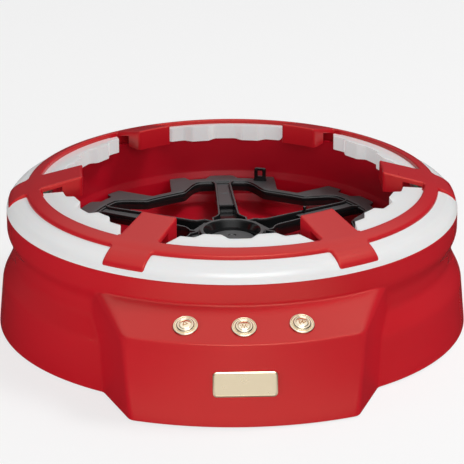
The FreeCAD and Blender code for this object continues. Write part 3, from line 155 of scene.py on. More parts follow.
def moved(points: np.ndarray, place: Matrix) -> np.ndarray:
    """Points of a place's own frame, carried to the machine's."""
    return points @ np.array(place.to_3x3(), float).T + np.array(place.translation, float)


def spun(points: np.ndarray, angle: float) -> np.ndarray:
    """Points turned about the machine's axis."""
    turn = [[math.cos(angle), math.sin(angle), 0], [-math.sin(angle), math.cos(angle), 0], [0, 0, 1]]
    return points @ np.array(turn)


def grid_faces(rows: int, columns: int, wrap: Wrap) -> np.ndarray:
    """The four corner numbers of each cell of a grid, with the wrapped sides closed."""
    close_rows, close_columns = wrap.value
    row = np.arange(rows if close_rows else rows - 1)
    column = np.arange(columns if close_columns else columns - 1)
    low, left = np.meshgrid(row, column, indexing="ij")
    high = (low + 1) % rows
    right = (left + 1) % columns
    cells = np.stack([low * columns + left, low * columns + right,
                      high * columns + right, high * columns + left], axis=-1)
    return cells.reshape(-1, 4)


def bar_faces(rows: int, columns: int) -> list[list[int]]:
    """Faces of a closed section carried along a path, with both ends closed."""
    faces = grid_faces(rows, columns, Wrap.ROUND).tolist()
    return faces + [list(range(columns)), list(range((rows - 1) * columns, rows * columns))]


def in_scene(name: str, data: bpy.types.ID) -> bpy.types.Object:
    """A new object in the scene, at the origin."""
    item = bpy.data.objects.new(name, data)
    bpy.context.scene.collection.objects.link(item)
    return item


@contextmanager
def reworked(mesh: bpy.types.Mesh) -> Iterator[bmesh.types.BMesh]:
    """Opens a mesh for changes to its points and faces, then writes them back."""
    work = bmesh.new()
    work.from_mesh(mesh)
    yield work
    work.to_mesh(mesh)
    work.free()


def make_piece(name: str, points: np.ndarray, faces: Sequence,
               sharp_degrees: float = 35.0) -> bpy.types.Object:
    """A mesh object from points in millimetres, merged, pointing outwards and smooth up to an angle.

    Args:
        name: The piece's name.
        points: Corner points, any shape ending in 3, in millimetres.
        faces: Corner numbers of each face.
        sharp_degrees: Edges that bend more than this stay sharp.

    Returns:
        The new object, at the origin.
    """
    mesh = bpy.data.meshes.new(name)
    flat = np.asarray(points, float).reshape(-1, 3) * MM
    mesh.from_pydata(flat.tolist(), [], [list(map(int, face)) for face in faces])
    tidy_mesh(mesh, sharp_degrees)
    return in_scene(name, mesh)


def tidy_mesh(mesh: bpy.types.Mesh, sharp_degrees: float) -> None:
    """Merges doubled points, turns every face outwards and shades smoothly up to an angle."""
    with reworked(mesh) as work:
        bmesh.ops.remove_doubles(work, verts=work.verts, dist=1e-6)
        bmesh.ops.dissolve_degenerate(work, dist=1e-7, edges=work.edges)
        bmesh.ops.recalc_face_normals(work, faces=work.faces)
    mesh.shade_smooth()
    mesh.set_sharp_from_angle(angle=math.radians(sharp_degrees))


def remove_loose(mesh: bpy.types.Mesh) -> None:
    """Deletes points that no face uses."""
    with reworked(mesh) as work:
        loose = [vertex for vertex in work.verts if not vertex.link_faces]
        bmesh.ops.delete(work, geom=loose, context="VERTS")
        bmesh.ops.recalc_face_normals(work, faces=work.faces)


def joined(name: str, parts: Sequence[bpy.types.Object]) -> bpy.types.Object:
    """One object from several meshes, made of all their faces."""
    work = bmesh.new()
    for part in parts:
        work.from_mesh(part.data)
        bpy.data.objects.remove(part)
    mesh = bpy.data.meshes.new(name)
    work.to_mesh(mesh)
    work.free()
    return in_scene(name, mesh)


def turned_piece(name: str, corners: Sequence[tuple[float, float, float]], segments: int = 360,
                 steps: int = 5, sharp_degrees: float = 35.0) -> bpy.types.Object:
    """A closed outline of (radius, height, rounding) corners, turned all the way round the machine's axis."""
    outline = rounded_outline(corners, steps)
    angles = np.linspace(0, 2 * math.pi, segments, endpoint=False)
    faces = grid_faces(len(outline), segments, Wrap.BOTH)
    return make_piece(name, turned_points(outline, angles), faces, sharp_degrees)


def turned_on(name: str, outline: np.ndarray, segments: int, place: Matrix,
              sharp_degrees: float = 35.0) -> bpy.types.Object:
    """An outline that starts and ends on its axis, turned about Z and set at a place in millimetres."""
    angles = np.linspace(0, 2 * math.pi, segments, endpoint=False)
    points = moved(turned_points(outline, angles), place)
    return make_piece(name, points, grid_faces(len(outline), segments, Wrap.ROUND), sharp_degrees)


def dressed(piece: bpy.types.Object, body: Body, material: bpy.types.Material,
            replaces: Sequence[str] = ()) -> bpy.types.Object:
    """Gives a piece its material and body, and hides the construction nodes that it stands for."""
    piece.data.materials.clear()
    piece.data.materials.append(material)
    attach(piece, body.value)
    if replaces:
        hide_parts(*replaces)
    log.info("%s: %d faces on %s", piece.name, len(piece.data.polygons), body.value)
    return piece


def drilled(piece: bpy.types.Object, cutters: Sequence[bpy.types.Object],
            sharp_degrees: float) -> bpy.types.Object:
    """Cuts the cutters' shapes out of a piece and removes the cutters.

    Args:
        piece: The piece to cut.
        cutters: Closed shapes to take away.
        sharp_degrees: Edges that bend more than this stay sharp.

    Returns:
        The same piece with the holes in its mesh.
    """
    for cutter in cutters:
        hole = piece.modifiers.new("hole", "BOOLEAN")
        hole.operation = "DIFFERENCE"
        hole.solver = "EXACT"
        hole.object = cutter
    evaluated = piece.evaluated_get(bpy.context.evaluated_depsgraph_get())
    mesh = bpy.data.meshes.new_from_object(evaluated)
    piece.modifiers.clear()
    piece.data = mesh
    for cutter in cutters:
        bpy.data.objects.remove(cutter)
    tidy_mesh(mesh, sharp_degrees)
    return piece


# Finishes

Inputs = dict[str | int, object]


class Wiring:
    """Adds nodes to one node tree; each input takes a plain value or the output that feeds it."""

    def __init__(self, tree: bpy.types.NodeTree) -> None:
        """Keeps the tree."""
        self.tree = tree

    def feed(self, node: bpy.types.Node, inputs: Inputs) -> None:
        """Sets a node's inputs, found by name or number."""
        for label, value in inputs.items():
            if isinstance(value, bpy.types.NodeSocket):
                self.tree.links.new(value, node.inputs[label])
            else:
                node.inputs[label].default_value = value

    def node(self, kind: str, inputs: Inputs | None = None, **settings: object) -> bpy.types.Node:
        """Adds a node of a type, with its own settings, then its inputs."""
        node = self.tree.nodes.new(kind)
        for label, value in settings.items():
            setattr(node, label, value)
        self.feed(node, inputs or {})
        return node

    def group(self, effect: bpy.types.NodeTree, inputs: Inputs) -> bpy.types.Node:
        """Puts a shared effect into the tree with values of its own."""
        return self.node("ShaderNodeGroup", inputs, node_tree=effect)

    def maths(self, operation: str, *values: object) -> bpy.types.NodeSocket:
        """Adds one math node and returns its output."""
        return self.node("ShaderNodeMath", dict(enumerate(values)), operation=operation).outputs["Value"]

    def ramp(self, value: bpy.types.NodeSocket, span: tuple[float, float]) -> bpy.types.NodeSocket:
        """A smooth step from 0 at the span's start to 1 at its end, which may lie below the start."""
        inputs = {"From Min": span[0], "From Max": span[1], "Value": value}
        return self.node("ShaderNodeMapRange", inputs, interpolation_type="SMOOTHSTEP").outputs["Result"]

    def place(self, frame_of: str) -> bpy.types.NodeSocket:
        """The place of each shaded point, in the named coordinates."""
        return self.node("ShaderNodeTexCoord").outputs[frame_of]

    def split(self, place: bpy.types.NodeSocket) -> tuple[bpy.types.NodeSocket, ...]:
        """The three parts of a vector."""
        return tuple(self.node("ShaderNodeSeparateXYZ", {"Vector": place}).outputs)


class EffectGroups:
    """Shader node groups that several finishes share, each built once."""

    def __init__(self) -> None:
        """Builds every group."""
        self.mottle = self._mottle()
        self.skin = self._skin()
        self.brushing = self._brushing()

    @staticmethod
    def _group(name: str, inputs: dict[str, float | tuple], outputs: dict[str, str]) -> tuple:
        """A new group.

        Args:
            name: The group's name.
            inputs: Each input's default, a colour where it is a tuple.
            outputs: Each output's socket type.

        Returns:
            The group's wiring, the outputs of its input node, and its output node.
        """
        tree = bpy.data.node_groups.new(name, "ShaderNodeTree")
        for label, default in inputs.items():
            kind = "NodeSocketColor" if isinstance(default, tuple) else "NodeSocketFloat"
            tree.interface.new_socket(label, in_out="INPUT", socket_type=kind).default_value = default
        for label, kind in outputs.items():
            tree.interface.new_socket(label, in_out="OUTPUT", socket_type=kind)
        return Wiring(tree), tree.nodes.new("NodeGroupInput").outputs, tree.nodes.new("NodeGroupOutput")

    def _mottle(self) -> bpy.types.NodeTree:
        """Slow unevenness of colour and gloss: two scales of noise mix a base colour with a second one."""
        wiring, given, out = self._group(
            "mottle",
            {"Base": (0.5, 0.5, 0.5, 1), "Second": (0.4, 0.4, 0.4, 1), "Scale": 30.0,
             "Roughness Low": 0.2, "Roughness High": 0.3},
            {"Color": "NodeSocketColor", "Roughness": "NodeSocketFloat"})
        place = wiring.place("Object")
        noise = wiring.node("ShaderNodeTexNoise", {"Detail": 4.0, "Vector": place, "Scale": given["Scale"]})
        mix = wiring.node("ShaderNodeMix", {
            "Factor": noise.outputs["Fac"], "A": given["Base"], "B": given["Second"]}, data_type="RGBA")
        fine = wiring.node("ShaderNodeTexNoise", {"Scale": 140.0, "Vector": place})
        span = wiring.node("ShaderNodeMapRange", {
            "Value": fine.outputs["Fac"], "To Min": given["Roughness Low"],
            "To Max": given["Roughness High"]})
        wiring.feed(out, {"Color": mix.outputs["Result"], "Roughness": span.outputs["Result"]})
        return wiring.tree

    def _skin(self) -> bpy.types.NodeTree:
        """The height of a moulded skin: a shallow ripple of the mould plus a fine grain."""
        wiring, given, out = self._group(
            "moulded_skin", {"Ripple Scale": 18.0, "Ripple": 0.6, "Grain Scale": 900.0, "Grain": 0.1},
            {"Height": "NodeSocketFloat"})
        place = wiring.place("Object")
        ripple, grain = (
            wiring.node("ShaderNodeTexNoise", {"Detail": detail, "Vector": place, "Scale": given[scale]})
            for detail, scale in ((1.0, "Ripple Scale"), (2.0, "Grain Scale")))
        first = wiring.maths("MULTIPLY", ripple.outputs["Fac"], given["Ripple"])
        total = wiring.maths("MULTIPLY_ADD", grain.outputs["Fac"], given["Grain"], first)
        wiring.feed(out, {"Height": total})
        return wiring.tree

    def _brushing(self) -> bpy.types.NodeTree:
        """Fine parallel brush marks: noise drawn out along X, as a mask."""
        wiring, given, out = self._group(
            "brushing", {"Fineness": 2500.0, "Stretch": 0.03}, {"Mask": "NodeSocketFloat"})
        across, along, up = wiring.split(wiring.place("Object"))
        drawn = wiring.maths("MULTIPLY", across, given["Stretch"])
        back = wiring.node("ShaderNodeCombineXYZ", {"X": drawn, "Y": along, "Z": up})
        noise = wiring.node("ShaderNodeTexNoise", {
            "Detail": 3.0, "Vector": back.outputs["Vector"], "Scale": given["Fineness"]})
        wiring.feed(out, {"Mask": noise.outputs["Fac"]})
        return wiring.tree


def blank_material(name: str) -> tuple[bpy.types.Material, bpy.types.Node, Wiring]:
    """A new node material, its shader and its wiring."""
    material = bpy.data.materials.new(name)
    material.use_nodes = True
    return material, material.node_tree.nodes["Principled BSDF"], Wiring(material.node_tree)


@dataclass(frozen=True)
class SurfaceFinish:
    """What every finish has: a name, two colours that mottle slowly, and a range of gloss."""

    name: str
    colour: tuple[float, float, float]
    second: tuple[float, float, float]
    gloss: tuple[float, float]

    def mottled(self, groups: EffectGroups,
                scale: float) -> tuple[bpy.types.Material, bpy.types.Node, Wiring]:
        """A new material whose colour and roughness come from the mottle.

        Args:
            groups: The shared effects.
            scale: How fine the mottle is.

        Returns:
            The material, its shader and its wiring.
        """
        material, shader, wiring = blank_material(self.name)
        mottle = wiring.group(groups.mottle, {
            "Base": (*self.colour, 1), "Second": (*self.second, 1), "Scale": scale,
            "Roughness Low": self.gloss[0], "Roughness High": self.gloss[1]})
        wiring.feed(shader, {
            "Base Color": mottle.outputs["Color"], "Roughness": mottle.outputs["Roughness"]})
        return material, shader, wiring


@dataclass(frozen=True)
class PlasticFinish(SurfaceFinish):
    """A moulded plastic, with the skin's relief, its sheen, the light that passes through it and any painted
    glow: emitted light that stands in for light falling on it.
    """

    ripple: float = 0.5
    grain: float = 0.006
    grain_scale: float = 900.0
    bump: float = 0.04
    specular: float = 0.5
    sheen_tint: tuple[float, float, float] = (1.0, 1.0, 1.0)
    subsurface: float = 0.0
    # glow is painted light: an emission that brightens the part evenly though it is no lamp
    glow: float = 0.0

    def build(self, groups: EffectGroups) -> bpy.types.Material:
        """Makes the material.

        Args:
            groups: The shared effects.

        Returns:
            The new material.
        """
        material, shader, wiring = self.mottled(groups, 24.0)
        skin = wiring.group(groups.skin, {
            "Ripple": self.ripple, "Grain": self.grain, "Grain Scale": self.grain_scale})
        bump = wiring.node("ShaderNodeBump", {
            "Strength": self.bump, "Distance": 0.002, "Height": skin.outputs["Height"]})
        # Emission Strength carries the painted glow.
        wiring.feed(shader, {
            "Normal": bump.outputs["Normal"], "Specular IOR Level": self.specular,
            "Specular Tint": (*self.sheen_tint, 1), "Subsurface Weight": self.subsurface,
            "Subsurface Scale": 0.003, "Emission Color": (1, 1, 1, 1), "Emission Strength": self.glow})
        return material


@dataclass(frozen=True)
class MetalFinish(SurfaceFinish):
    """A metal or plated surface, and how strongly its brush marks show."""

    brushing: float = 0.0

    def build(self, groups: EffectGroups) -> bpy.types.Material:
        """Makes the material.

        Args:
            groups: The shared effects.

        Returns:
            The new material.
        """
        material, shader, wiring = self.mottled(groups, 60.0)
        marks = wiring.group(groups.brushing, {})
        bump = wiring.node("ShaderNodeBump", {
            "Strength": self.brushing, "Distance": 0.0004, "Height": marks.outputs["Mask"]})
        wiring.feed(shader, {"Metallic": 1.0, "Normal": bump.outputs["Normal"]})
        return material


class Finish(Enum):
    """Every finish on the machine."""

    HOUSING = PlasticFinish("red_housing_plastic", *RED, (0.22, 0.27), grain=0.001, sheen_tint=WARM)
    FRAME = PlasticFinish("red_frame_plastic", *RED, (0.26, 0.32), grain=0.001, sheen_tint=WARM)
    BOWL = PlasticFinish("red_bowl_plastic", (0.46, 0.0045, 0.016), (0.44, 0.0040, 0.014), (0.26, 0.34),
                         grain=0.001, specular=0.36)
    # The diffuser's glow is painted light, an emission that evens out its shading.
    DIFFUSER = PlasticFinish("milky_diffuser_plastic_painted_glow", (0.46, 0.46, 0.46), (0.445, 0.445, 0.445),
                             (0.16, 0.22), subsurface=0.15, glow=0.31)
    # The two table blacks below are lit and shaded copies of one black plastic: the lighter top colour is
    # painted light and the much darker wall colour is painted shade; their gloss differs as satin and
    # polished finishes.
    TABLE_TOP_PAINTED_LIGHT = PlasticFinish("black_satin_plastic_painted_light", (0.098, 0.099, 0.101), (0.086, 0.087, 0.089),
                              (0.36, 0.46), grain=0.08, grain_scale=1400.0, specular=0.22)
    TABLE_WALL_PAINTED_SHADE = PlasticFinish("black_polished_plastic_painted_shade", (0.010, 0.0105, 0.011), (0.008, 0.0085, 0.009),
                               (0.12, 0.18), grain=0.02)
    BLACK = PlasticFinish("black_textured_plastic", (0.022, 0.022, 0.024), (0.016, 0.016, 0.017),
                          (0.50, 0.62), grain=0.5, bump=0.2)
    RUBBER = PlasticFinish("foot_rubber", (0.018, 0.018, 0.018), (0.013, 0.013, 0.013), (0.72, 0.85),
                           grain=0.6, bump=0.3)
    BOARD = PlasticFinish("green_board_laminate", (0.012, 0.12, 0.045), (0.010, 0.10, 0.035), (0.30, 0.42),
                          grain=0.2)
    CHIP = PlasticFinish("light_chip", (0.80, 0.74, 0.42), (0.78, 0.70, 0.38), (0.20, 0.30))
    ACETAL = PlasticFinish("natural_acetal", (0.74, 0.73, 0.70), (0.70, 0.69, 0.66), (0.35, 0.45))
    CELL = PlasticFinish("cell_sleeve", (0.045, 0.052, 0.065), (0.04, 0.045, 0.055), (0.25, 0.35))
    GOLD = MetalFinish("pale_gold_plating", (0.86, 0.75, 0.58), (0.80, 0.69, 0.52), (0.10, 0.16))
    PLATE = MetalFinish("pale_gold_plate", (0.94, 0.80, 0.57), (0.90, 0.76, 0.53), (0.24, 0.34),
                        brushing=0.15)
    MARK = PlasticFinish("amber_mark_paint", (0.42, 0.15, 0.02), (0.34, 0.12, 0.015), (0.35, 0.50))
    STEEL = MetalFinish("bright_steel", (0.56, 0.57, 0.58), (0.50, 0.51, 0.52), (0.22, 0.36), brushing=0.2)
    BRONZE = MetalFinish("sintered_bronze", (0.50, 0.33, 0.15), (0.42, 0.27, 0.12), (0.40, 0.55))


Materials = dict[Finish, bpy.types.Material]


# Sub-assemblies

Line = tuple[float, float]


@dataclass(frozen=True)
class PanelLines:
    """The front panel's profile, each line as (height, radius)."""

    rim: Line = (66.0, 150.0)
    crease: Line = (52.0, 178.5)
    foot: Line = (1.0, 187.4)

    @staticmethod
    def radius(first: Line, second: Line, height: np.ndarray | float) -> np.ndarray | float:
        """The radius at a height, on the straight run through two lines."""
        return first[1] + (height - first[0]) * (second[1] - first[1]) / (second[0] - first[0])


@dataclass
class Housing:
    """The red outer shell: rim band, waist, skirt and front panel as one smooth surface."""

    lines: PanelLines = PanelLines()
    wall: float = 2.4
    foot: float = 1.0
    top: float = 80.0
    seat: float = 77.5
    seat_thick: float = 2.5
    seat_radius: float = 136.0
    body_outline: tuple[Line, ...] = (
        (1.0, 156.5), (33.0, 153.5), (47.0, 146.5), (58.0, 146.5), (66.0, 150.0), (80.0, 150.0))
    facet_half_width: float = 86.5
    facet_depth: float = 131.5
    facet_lean: float = 0.37
    body_rounding: float = 2.6
    corner_blend: tuple[float, float] = (3.0, 9.0)
    blend_heights: tuple[float, float] = (44.0, 60.0)
    panel_blend: float = 1.2
    crease_blend: float = 1.5

    def body_radius(self, height: np.ndarray) -> np.ndarray:
        """The round body's radius: straight runs between outline points, rounded by a running mean."""
        table = np.array(self.body_outline)
        offsets = np.linspace(-self.body_rounding, self.body_rounding, 17)
        limited = np.clip(height[..., None] + offsets, self.foot, self.top)
        return np.interp(limited, table[:, 0], table[:, 1]).mean(axis=-1)

    def panel_radius(self, height: np.ndarray) -> np.ndarray:
        """The front panel's radius: the sloping face above the crease, the upright face below it."""
        slope = self.lines.radius(self.lines.crease, self.lines.rim, height)
        upright = self.lines.radius(self.lines.crease, self.lines.foot, height)
        return smooth_min(slope, upright, self.crease_blend)

    def facet_radius(self, angle: np.ndarray) -> np.ndarray:
        """How far out the side facets lie: c / (n . direction), for the plane with normal n at distance c."""
        length = math.hypot(1.0, self.facet_lean)
        normal = np.array([1.0, -self.facet_lean]) / length
        distance = normal[0] * self.facet_half_width + normal[1] * -self.facet_depth
        across = np.abs(np.cos(angle)) * normal[0] + np.sin(angle) * normal[1]
        return distance / np.maximum(across, 0.2)

    def outer(self, angle: np.ndarray, height: np.ndarray) -> np.ndarray:
        """The outer surface's radius at each angle and height: the round body joined to the limited panel."""
        front = np.clip(-np.sin(angle), 0, 1) > 0.5
        low, high = self.corner_blend
        blend = low + (high - low) * smooth_step(height, *self.blend_heights)
        panel = smooth_min(self.panel_radius(height), self.facet_radius(angle), blend)
        panel = np.where(front, panel, 0.0)
        body = self.body_radius(height)
        return np.where(front, smooth_max(body, panel, self.panel_blend), body)

    def angles(self) -> np.ndarray:
        """Column angles, close together round the front panel and wider apart behind."""
        front = np.radians(np.arange(-146.0, -34.0, 0.4))
        behind = np.radians(np.arange(-34.0, 214.0, 1.0))
        return np.concatenate([front, behind])

    def heights(self) -> np.ndarray:
        """Row heights from the top edge down, close together at the slope and the rounded edges."""
        return np.concatenate([
            [79.7, 79.3, 78.5, 77.0], np.arange(75.0, 68.5, -1.4), np.arange(68.5, 49.0, -0.42),
            np.arange(49.0, 31.0, -0.9), np.arange(31.0, 3.0, -2.0), [2.2, 1.6, 1.25],
        ])

    def build(self) -> bpy.types.Object:
        """Builds the shell: outer surface, foot edge, inner surface and the seat under the rim.

        Returns:
            The shell as one closed object.
        """
        angles = self.angles()
        angle, height = np.meshgrid(angles, self.heights())
        outer = polar(self.outer(angle, height), angle, height)
        edge = self.outer(angles, np.full_like(angles, self.top))
        within = edge - self.wall
        shelf = self.seat - self.seat_thick
        foot_edge = np.hypot(outer[-1, :, 0], outer[-1, :, 1])
        over = [
            (self.seat_radius, shelf), (self.seat_radius, self.seat - 0.2),
            (self.seat_radius + 0.2, self.seat), (within, self.seat), (within, self.top - 0.15),
            (within + 0.2, self.top), (edge - 0.75, self.top), (edge - 0.3, self.top - 0.07)]
        under = [
            (foot_edge - 0.15, self.foot + 0.02), (foot_edge - 0.6, self.foot),
            (foot_edge - self.wall, self.foot)]
        points = np.stack([
            *(polar(radius, angles, level) for radius, level in over), *outer,
            *(polar(radius, angles, level) for radius, level in under),
            *self.inset(outer, angle)[::-1], polar(within, angles, shelf)])
        return make_piece("housing_shell", points, grid_faces(len(points), len(angles), Wrap.BOTH), 40.0)

    def inset(self, outer: np.ndarray, angle: np.ndarray) -> np.ndarray:
        """The inner surface: the outer one moved in along its own normal by the wall, below the seat."""
        down = np.gradient(outer, axis=0)
        around = np.gradient(outer, axis=1)
        around[:, 0] = around[:, 1]
        around[:, -1] = around[:, -2]
        normal = np.cross(around, down)
        normal /= np.maximum(np.linalg.norm(normal, axis=-1, keepdims=True), 1e-9)
        outward = np.stack([np.cos(angle), np.sin(angle), np.zeros_like(angle)], axis=-1)
        normal *= np.sign((normal * outward).sum(-1, keepdims=True))
        inner = outer - normal * self.wall
        keep = outer[:, 0, 2] < self.seat - self.seat_thick - 0.6
        inner = inner[keep]
        inner[..., 2] = np.clip(inner[..., 2], self.foot, self.seat - self.seat_thick - 0.2)
        return inner


@dataclass
class FrontPlate:
    """The nameplate's place and sizes."""

    lines: PanelLines = PanelLines()
    width: float = 40.0
    tall: float = 16.0
    height: float = 27.7
    corner: float = 2.6
    face: float = 0.75
    back: float = -0.9

    def place(self) -> Matrix:
        """The plate's place in millimetres, with Z out of the upright face."""
        (foot_z, foot_r), (crease_z, crease_r) = self.lines.foot, self.lines.crease
        lean = math.atan2(foot_r - crease_r, crease_z - foot_z)
        reach = self.lines.radius(self.lines.foot, self.lines.crease, self.height)
        return Matrix.Translation((0, -reach, self.height)) @ Matrix.Rotation(math.pi / 2 - lean, 4, "X")

    def outline(self, inset: float, steps: int = 6) -> np.ndarray:
        """The plate's rounded rectangle, drawn in by an inset, with arcs at its corners."""
        half_wide = self.width / 2 - inset
        half_tall = self.tall / 2 - inset
        corner = max(self.corner - inset, 0.3)
        quarter = np.linspace(0, math.pi / 2, steps)
        points = []
        for index, (side, up) in enumerate(((1, 1), (-1, 1), (-1, -1), (1, -1))):
            turn = quarter + index * math.pi / 2
            centre = np.array([side * (half_wide - corner), up * (half_tall - corner)])
            points.append(centre + corner * np.stack([np.cos(turn), np.sin(turn)], axis=-1))
        return np.concatenate(points)

    def build(self) -> bpy.types.Object:
        """Builds the plate: bevelled edge, raised border and a flat field sunk inside it.

        Returns:
            The plate as one closed object.
        """
        field = self.face - 0.22
        levels = ((0.0, self.back), (0.0, 0.1), (0.12, 0.3), (0.85, self.face), (1.15, self.face),
                  (1.3, self.face - 0.2), (1.7, field))
        outlines = [(self.outline(inset), level) for inset, level in levels]
        middle = 0.0 * outlines[0][0]
        return self.rings("front_nameplate", [(middle, self.back), *outlines, (middle, field)], 20.0)

    def rings(self, name: str, rings: Sequence[tuple[np.ndarray, float]],
              sharp_degrees: float) -> bpy.types.Object:
        """A closed piece from flat rings of points, each at its level in the plate's own place."""
        points = np.stack([np.column_stack([flat, np.full(len(flat), level)]) for flat, level in rings])
        faces = grid_faces(*points.shape[:2], Wrap.ROUND)
        return make_piece(name, moved(points, self.place()), faces, sharp_degrees)

    def cutter(self) -> bpy.types.Object:
        """The plate's recess, as a shape to cut from the housing."""
        flat = self.outline(-0.05)
        middle, low, high = 0.0 * flat, self.back - 0.05, 4.0
        rings = ((middle, low), (flat, low), (flat, high), (middle, high))
        return self.rings("plate_recess", rings, 30.0)


@dataclass
class PushButtons:
    """Three domed push buttons in flanged rings, with plain marks on their caps."""

    lines: PanelLines = PanelLines()
    pitch_radius: float = 165.7
    step_degrees: float = 12.5
    radius: float = 5.4
    bezel: float = 8.0
    bore: float = 5.6
    barrel: float = 1.1
    stem_reach: tuple[float, float] = (8.15, 6.45)
    dome_radius: float = 3.7
    dome_foot: float = 1.75
    dome_rise: float = 0.82
    stroke_width: float = 0.62

    def place(self, step: int) -> Matrix:
        """The place of one button in millimetres, with Z out of the sloping face."""
        (rim_z, rim_r), (crease_z, crease_r) = self.lines.rim, self.lines.crease
        tilt = math.atan2(rim_z - crease_z, crease_r - rim_r)
        height = rim_z - (self.pitch_radius - rim_r) * (rim_z - crease_z) / (crease_r - rim_r)
        spot = Matrix.Translation((0, -self.pitch_radius, height)) @ Matrix.Rotation(tilt, 4, "X")
        return Matrix.Rotation(math.radians(self.step_degrees * step), 4, "Z") @ spot

    def ring(self, step: int) -> bpy.types.Object:
        """One flanged ring: a low rounded flange, a groove and an inner bead."""
        bore, bezel = self.bore, self.bezel
        corners = [
            (bore, -3.6, 0.1), (bore + self.barrel, -3.6, 0.2), (bore + self.barrel, 0.1, 0.05),
            (bezel, 0.12, 0.05), (bezel - 0.1, 0.75, 0.5), (bezel - 0.75, 1.25, 0.5),
            (bezel - 1.25, 0.45, 0.3), (bore + 0.75, 0.4, 0.3), (bore + 0.45, 1.45, 0.3), (bore, 1.3, 0.15)]
        outline = rounded_outline(corners, 4)
        angles = np.linspace(0, 2 * math.pi, 72, endpoint=False)
        points = moved(turned_points(outline, angles), self.place(step))
        return make_piece(f"bezel_{step + 2}", points, grid_faces(len(outline), len(angles), Wrap.BOTH), 50.0)

    def cap(self, name: str, step: int) -> bpy.types.Object:
        """One cap: barrel, rounded shoulder, flat rim and low dome, closed on its axis."""
        across = np.linspace(self.dome_radius, 0, 9)
        dome = np.column_stack([across, self.dome_height(across)])
        reach = self.stem_reach[abs(step)]
        radius = self.radius
        start = np.array([
            [0.0, -reach], [2.0, -reach], [2.0, -4.9], [6.3, -4.9], [6.3, -3.8], [radius, -3.75],
            [radius, 1.1], [radius - 0.1, 1.5], [radius - 0.4, 1.85], [radius - 0.8, 1.95],
            [4.25, 1.75], [4.05, 1.5], [3.85, 1.55]])
        outline = np.concatenate([start, dome])
        return turned_on(name, outline, 64, self.place(step), 45.0)

    def dome_height(self, radius: np.ndarray) -> np.ndarray:
        """The dome's height above the face at a distance from its axis."""
        return self.dome_foot + self.dome_rise * (1 - np.clip(radius / self.dome_radius, 0, 1) ** 2)

    def stroke(self, name: str, step: int, path: np.ndarray) -> bpy.types.Object:
        """A thin raised line on a dome: a half-round section carried along a flat path."""
        run = np.gradient(path, axis=0)
        run /= np.linalg.norm(run, axis=1, keepdims=True)
        side = np.column_stack([-run[:, 1], run[:, 0]])
        across = np.linspace(-1, 1, 5)
        flat = path[:, None] + side[:, None] * across[None, :, None] * self.stroke_width / 2
        lift = 0.16 * np.sqrt(np.clip(1 - across ** 2, 0, 1)) - 0.02
        dome = self.dome_height(np.linalg.norm(flat, axis=-1))
        top = np.concatenate([flat, (dome + lift)[..., None]], axis=-1)
        bottom = np.concatenate([flat, (dome - 0.12)[..., None]], axis=-1)[:, ::-1]
        loop = np.concatenate([top, bottom], axis=1)
        return make_piece(name, moved(loop, self.place(step)), bar_faces(*loop.shape[:2]), 40.0)

    def cutters(self) -> list[bpy.types.Object]:
        """The round holes that the rings pass through, as shapes to cut from the housing."""
        reach = self.bore + self.barrel + 0.05
        outline = np.array([[0, -7.0], [reach, -7.0], [reach, 4.0], [0, 4.0]])
        return [turned_on(f"hole_{step + 2}", outline, 64, self.place(step)) for step in BUTTON_STEPS]

    def marks(self, step: int) -> list[np.ndarray]:
        """The flat paths of one cap's mark: a play triangle, a lamp with rays, or two arrow heads."""
        circle = np.linspace(0, 2 * math.pi, 25)
        if step == 0:
            ways = [np.array([math.cos(turn), math.sin(turn)]) for turn in np.arange(8) * math.pi / 4]
            rays = [np.linspace(way * 1.75, way * 2.6, 4) for way in ways]
            return rays + [1.05 * np.column_stack([np.cos(circle), np.sin(circle)])]
        if step == -1:
            corners, shifts = ((-1.1, -1.5), (-1.1, 1.5), (1.5, 0.0)), (0.0,)
        else:
            corners, shifts = ((-2.0, -1.3), (-2.0, 1.3), (0.0, 0.0)), (0.0, 2.2)
        paths = []
        for shift in shifts:
            points = np.array(corners) + np.array([shift, 0.0])
            for start, end in zip(points, np.roll(points, -1, axis=0)):
                paths.append(np.linspace(start, end, 6))
        return paths

    def build(self, materials: Materials) -> None:
        """Builds the rings, caps and marks, and dresses them.

        Args:
            materials: The machine's materials.
        """
        rings = joined("button_rings", [self.ring(step) for step in BUTTON_STEPS])
        dressed(rings, Body.BASE, materials[Finish.GOLD], ["button_bezels"])
        for step, body in zip(BUTTON_STEPS, (Body.LEFT, Body.MIDDLE, Body.RIGHT)):
            side = body.value.split("_")[1]
            cap = self.cap(f"cap_{side}", step)
            dressed(cap, body, materials[Finish.GOLD], [body.value])
            strokes = [self.stroke(f"stroke_{side}_{index}", step, path)
                       for index, path in enumerate(self.marks(step))]
            dressed(joined(f"mark_{side}", strokes), body, materials[Finish.MARK])


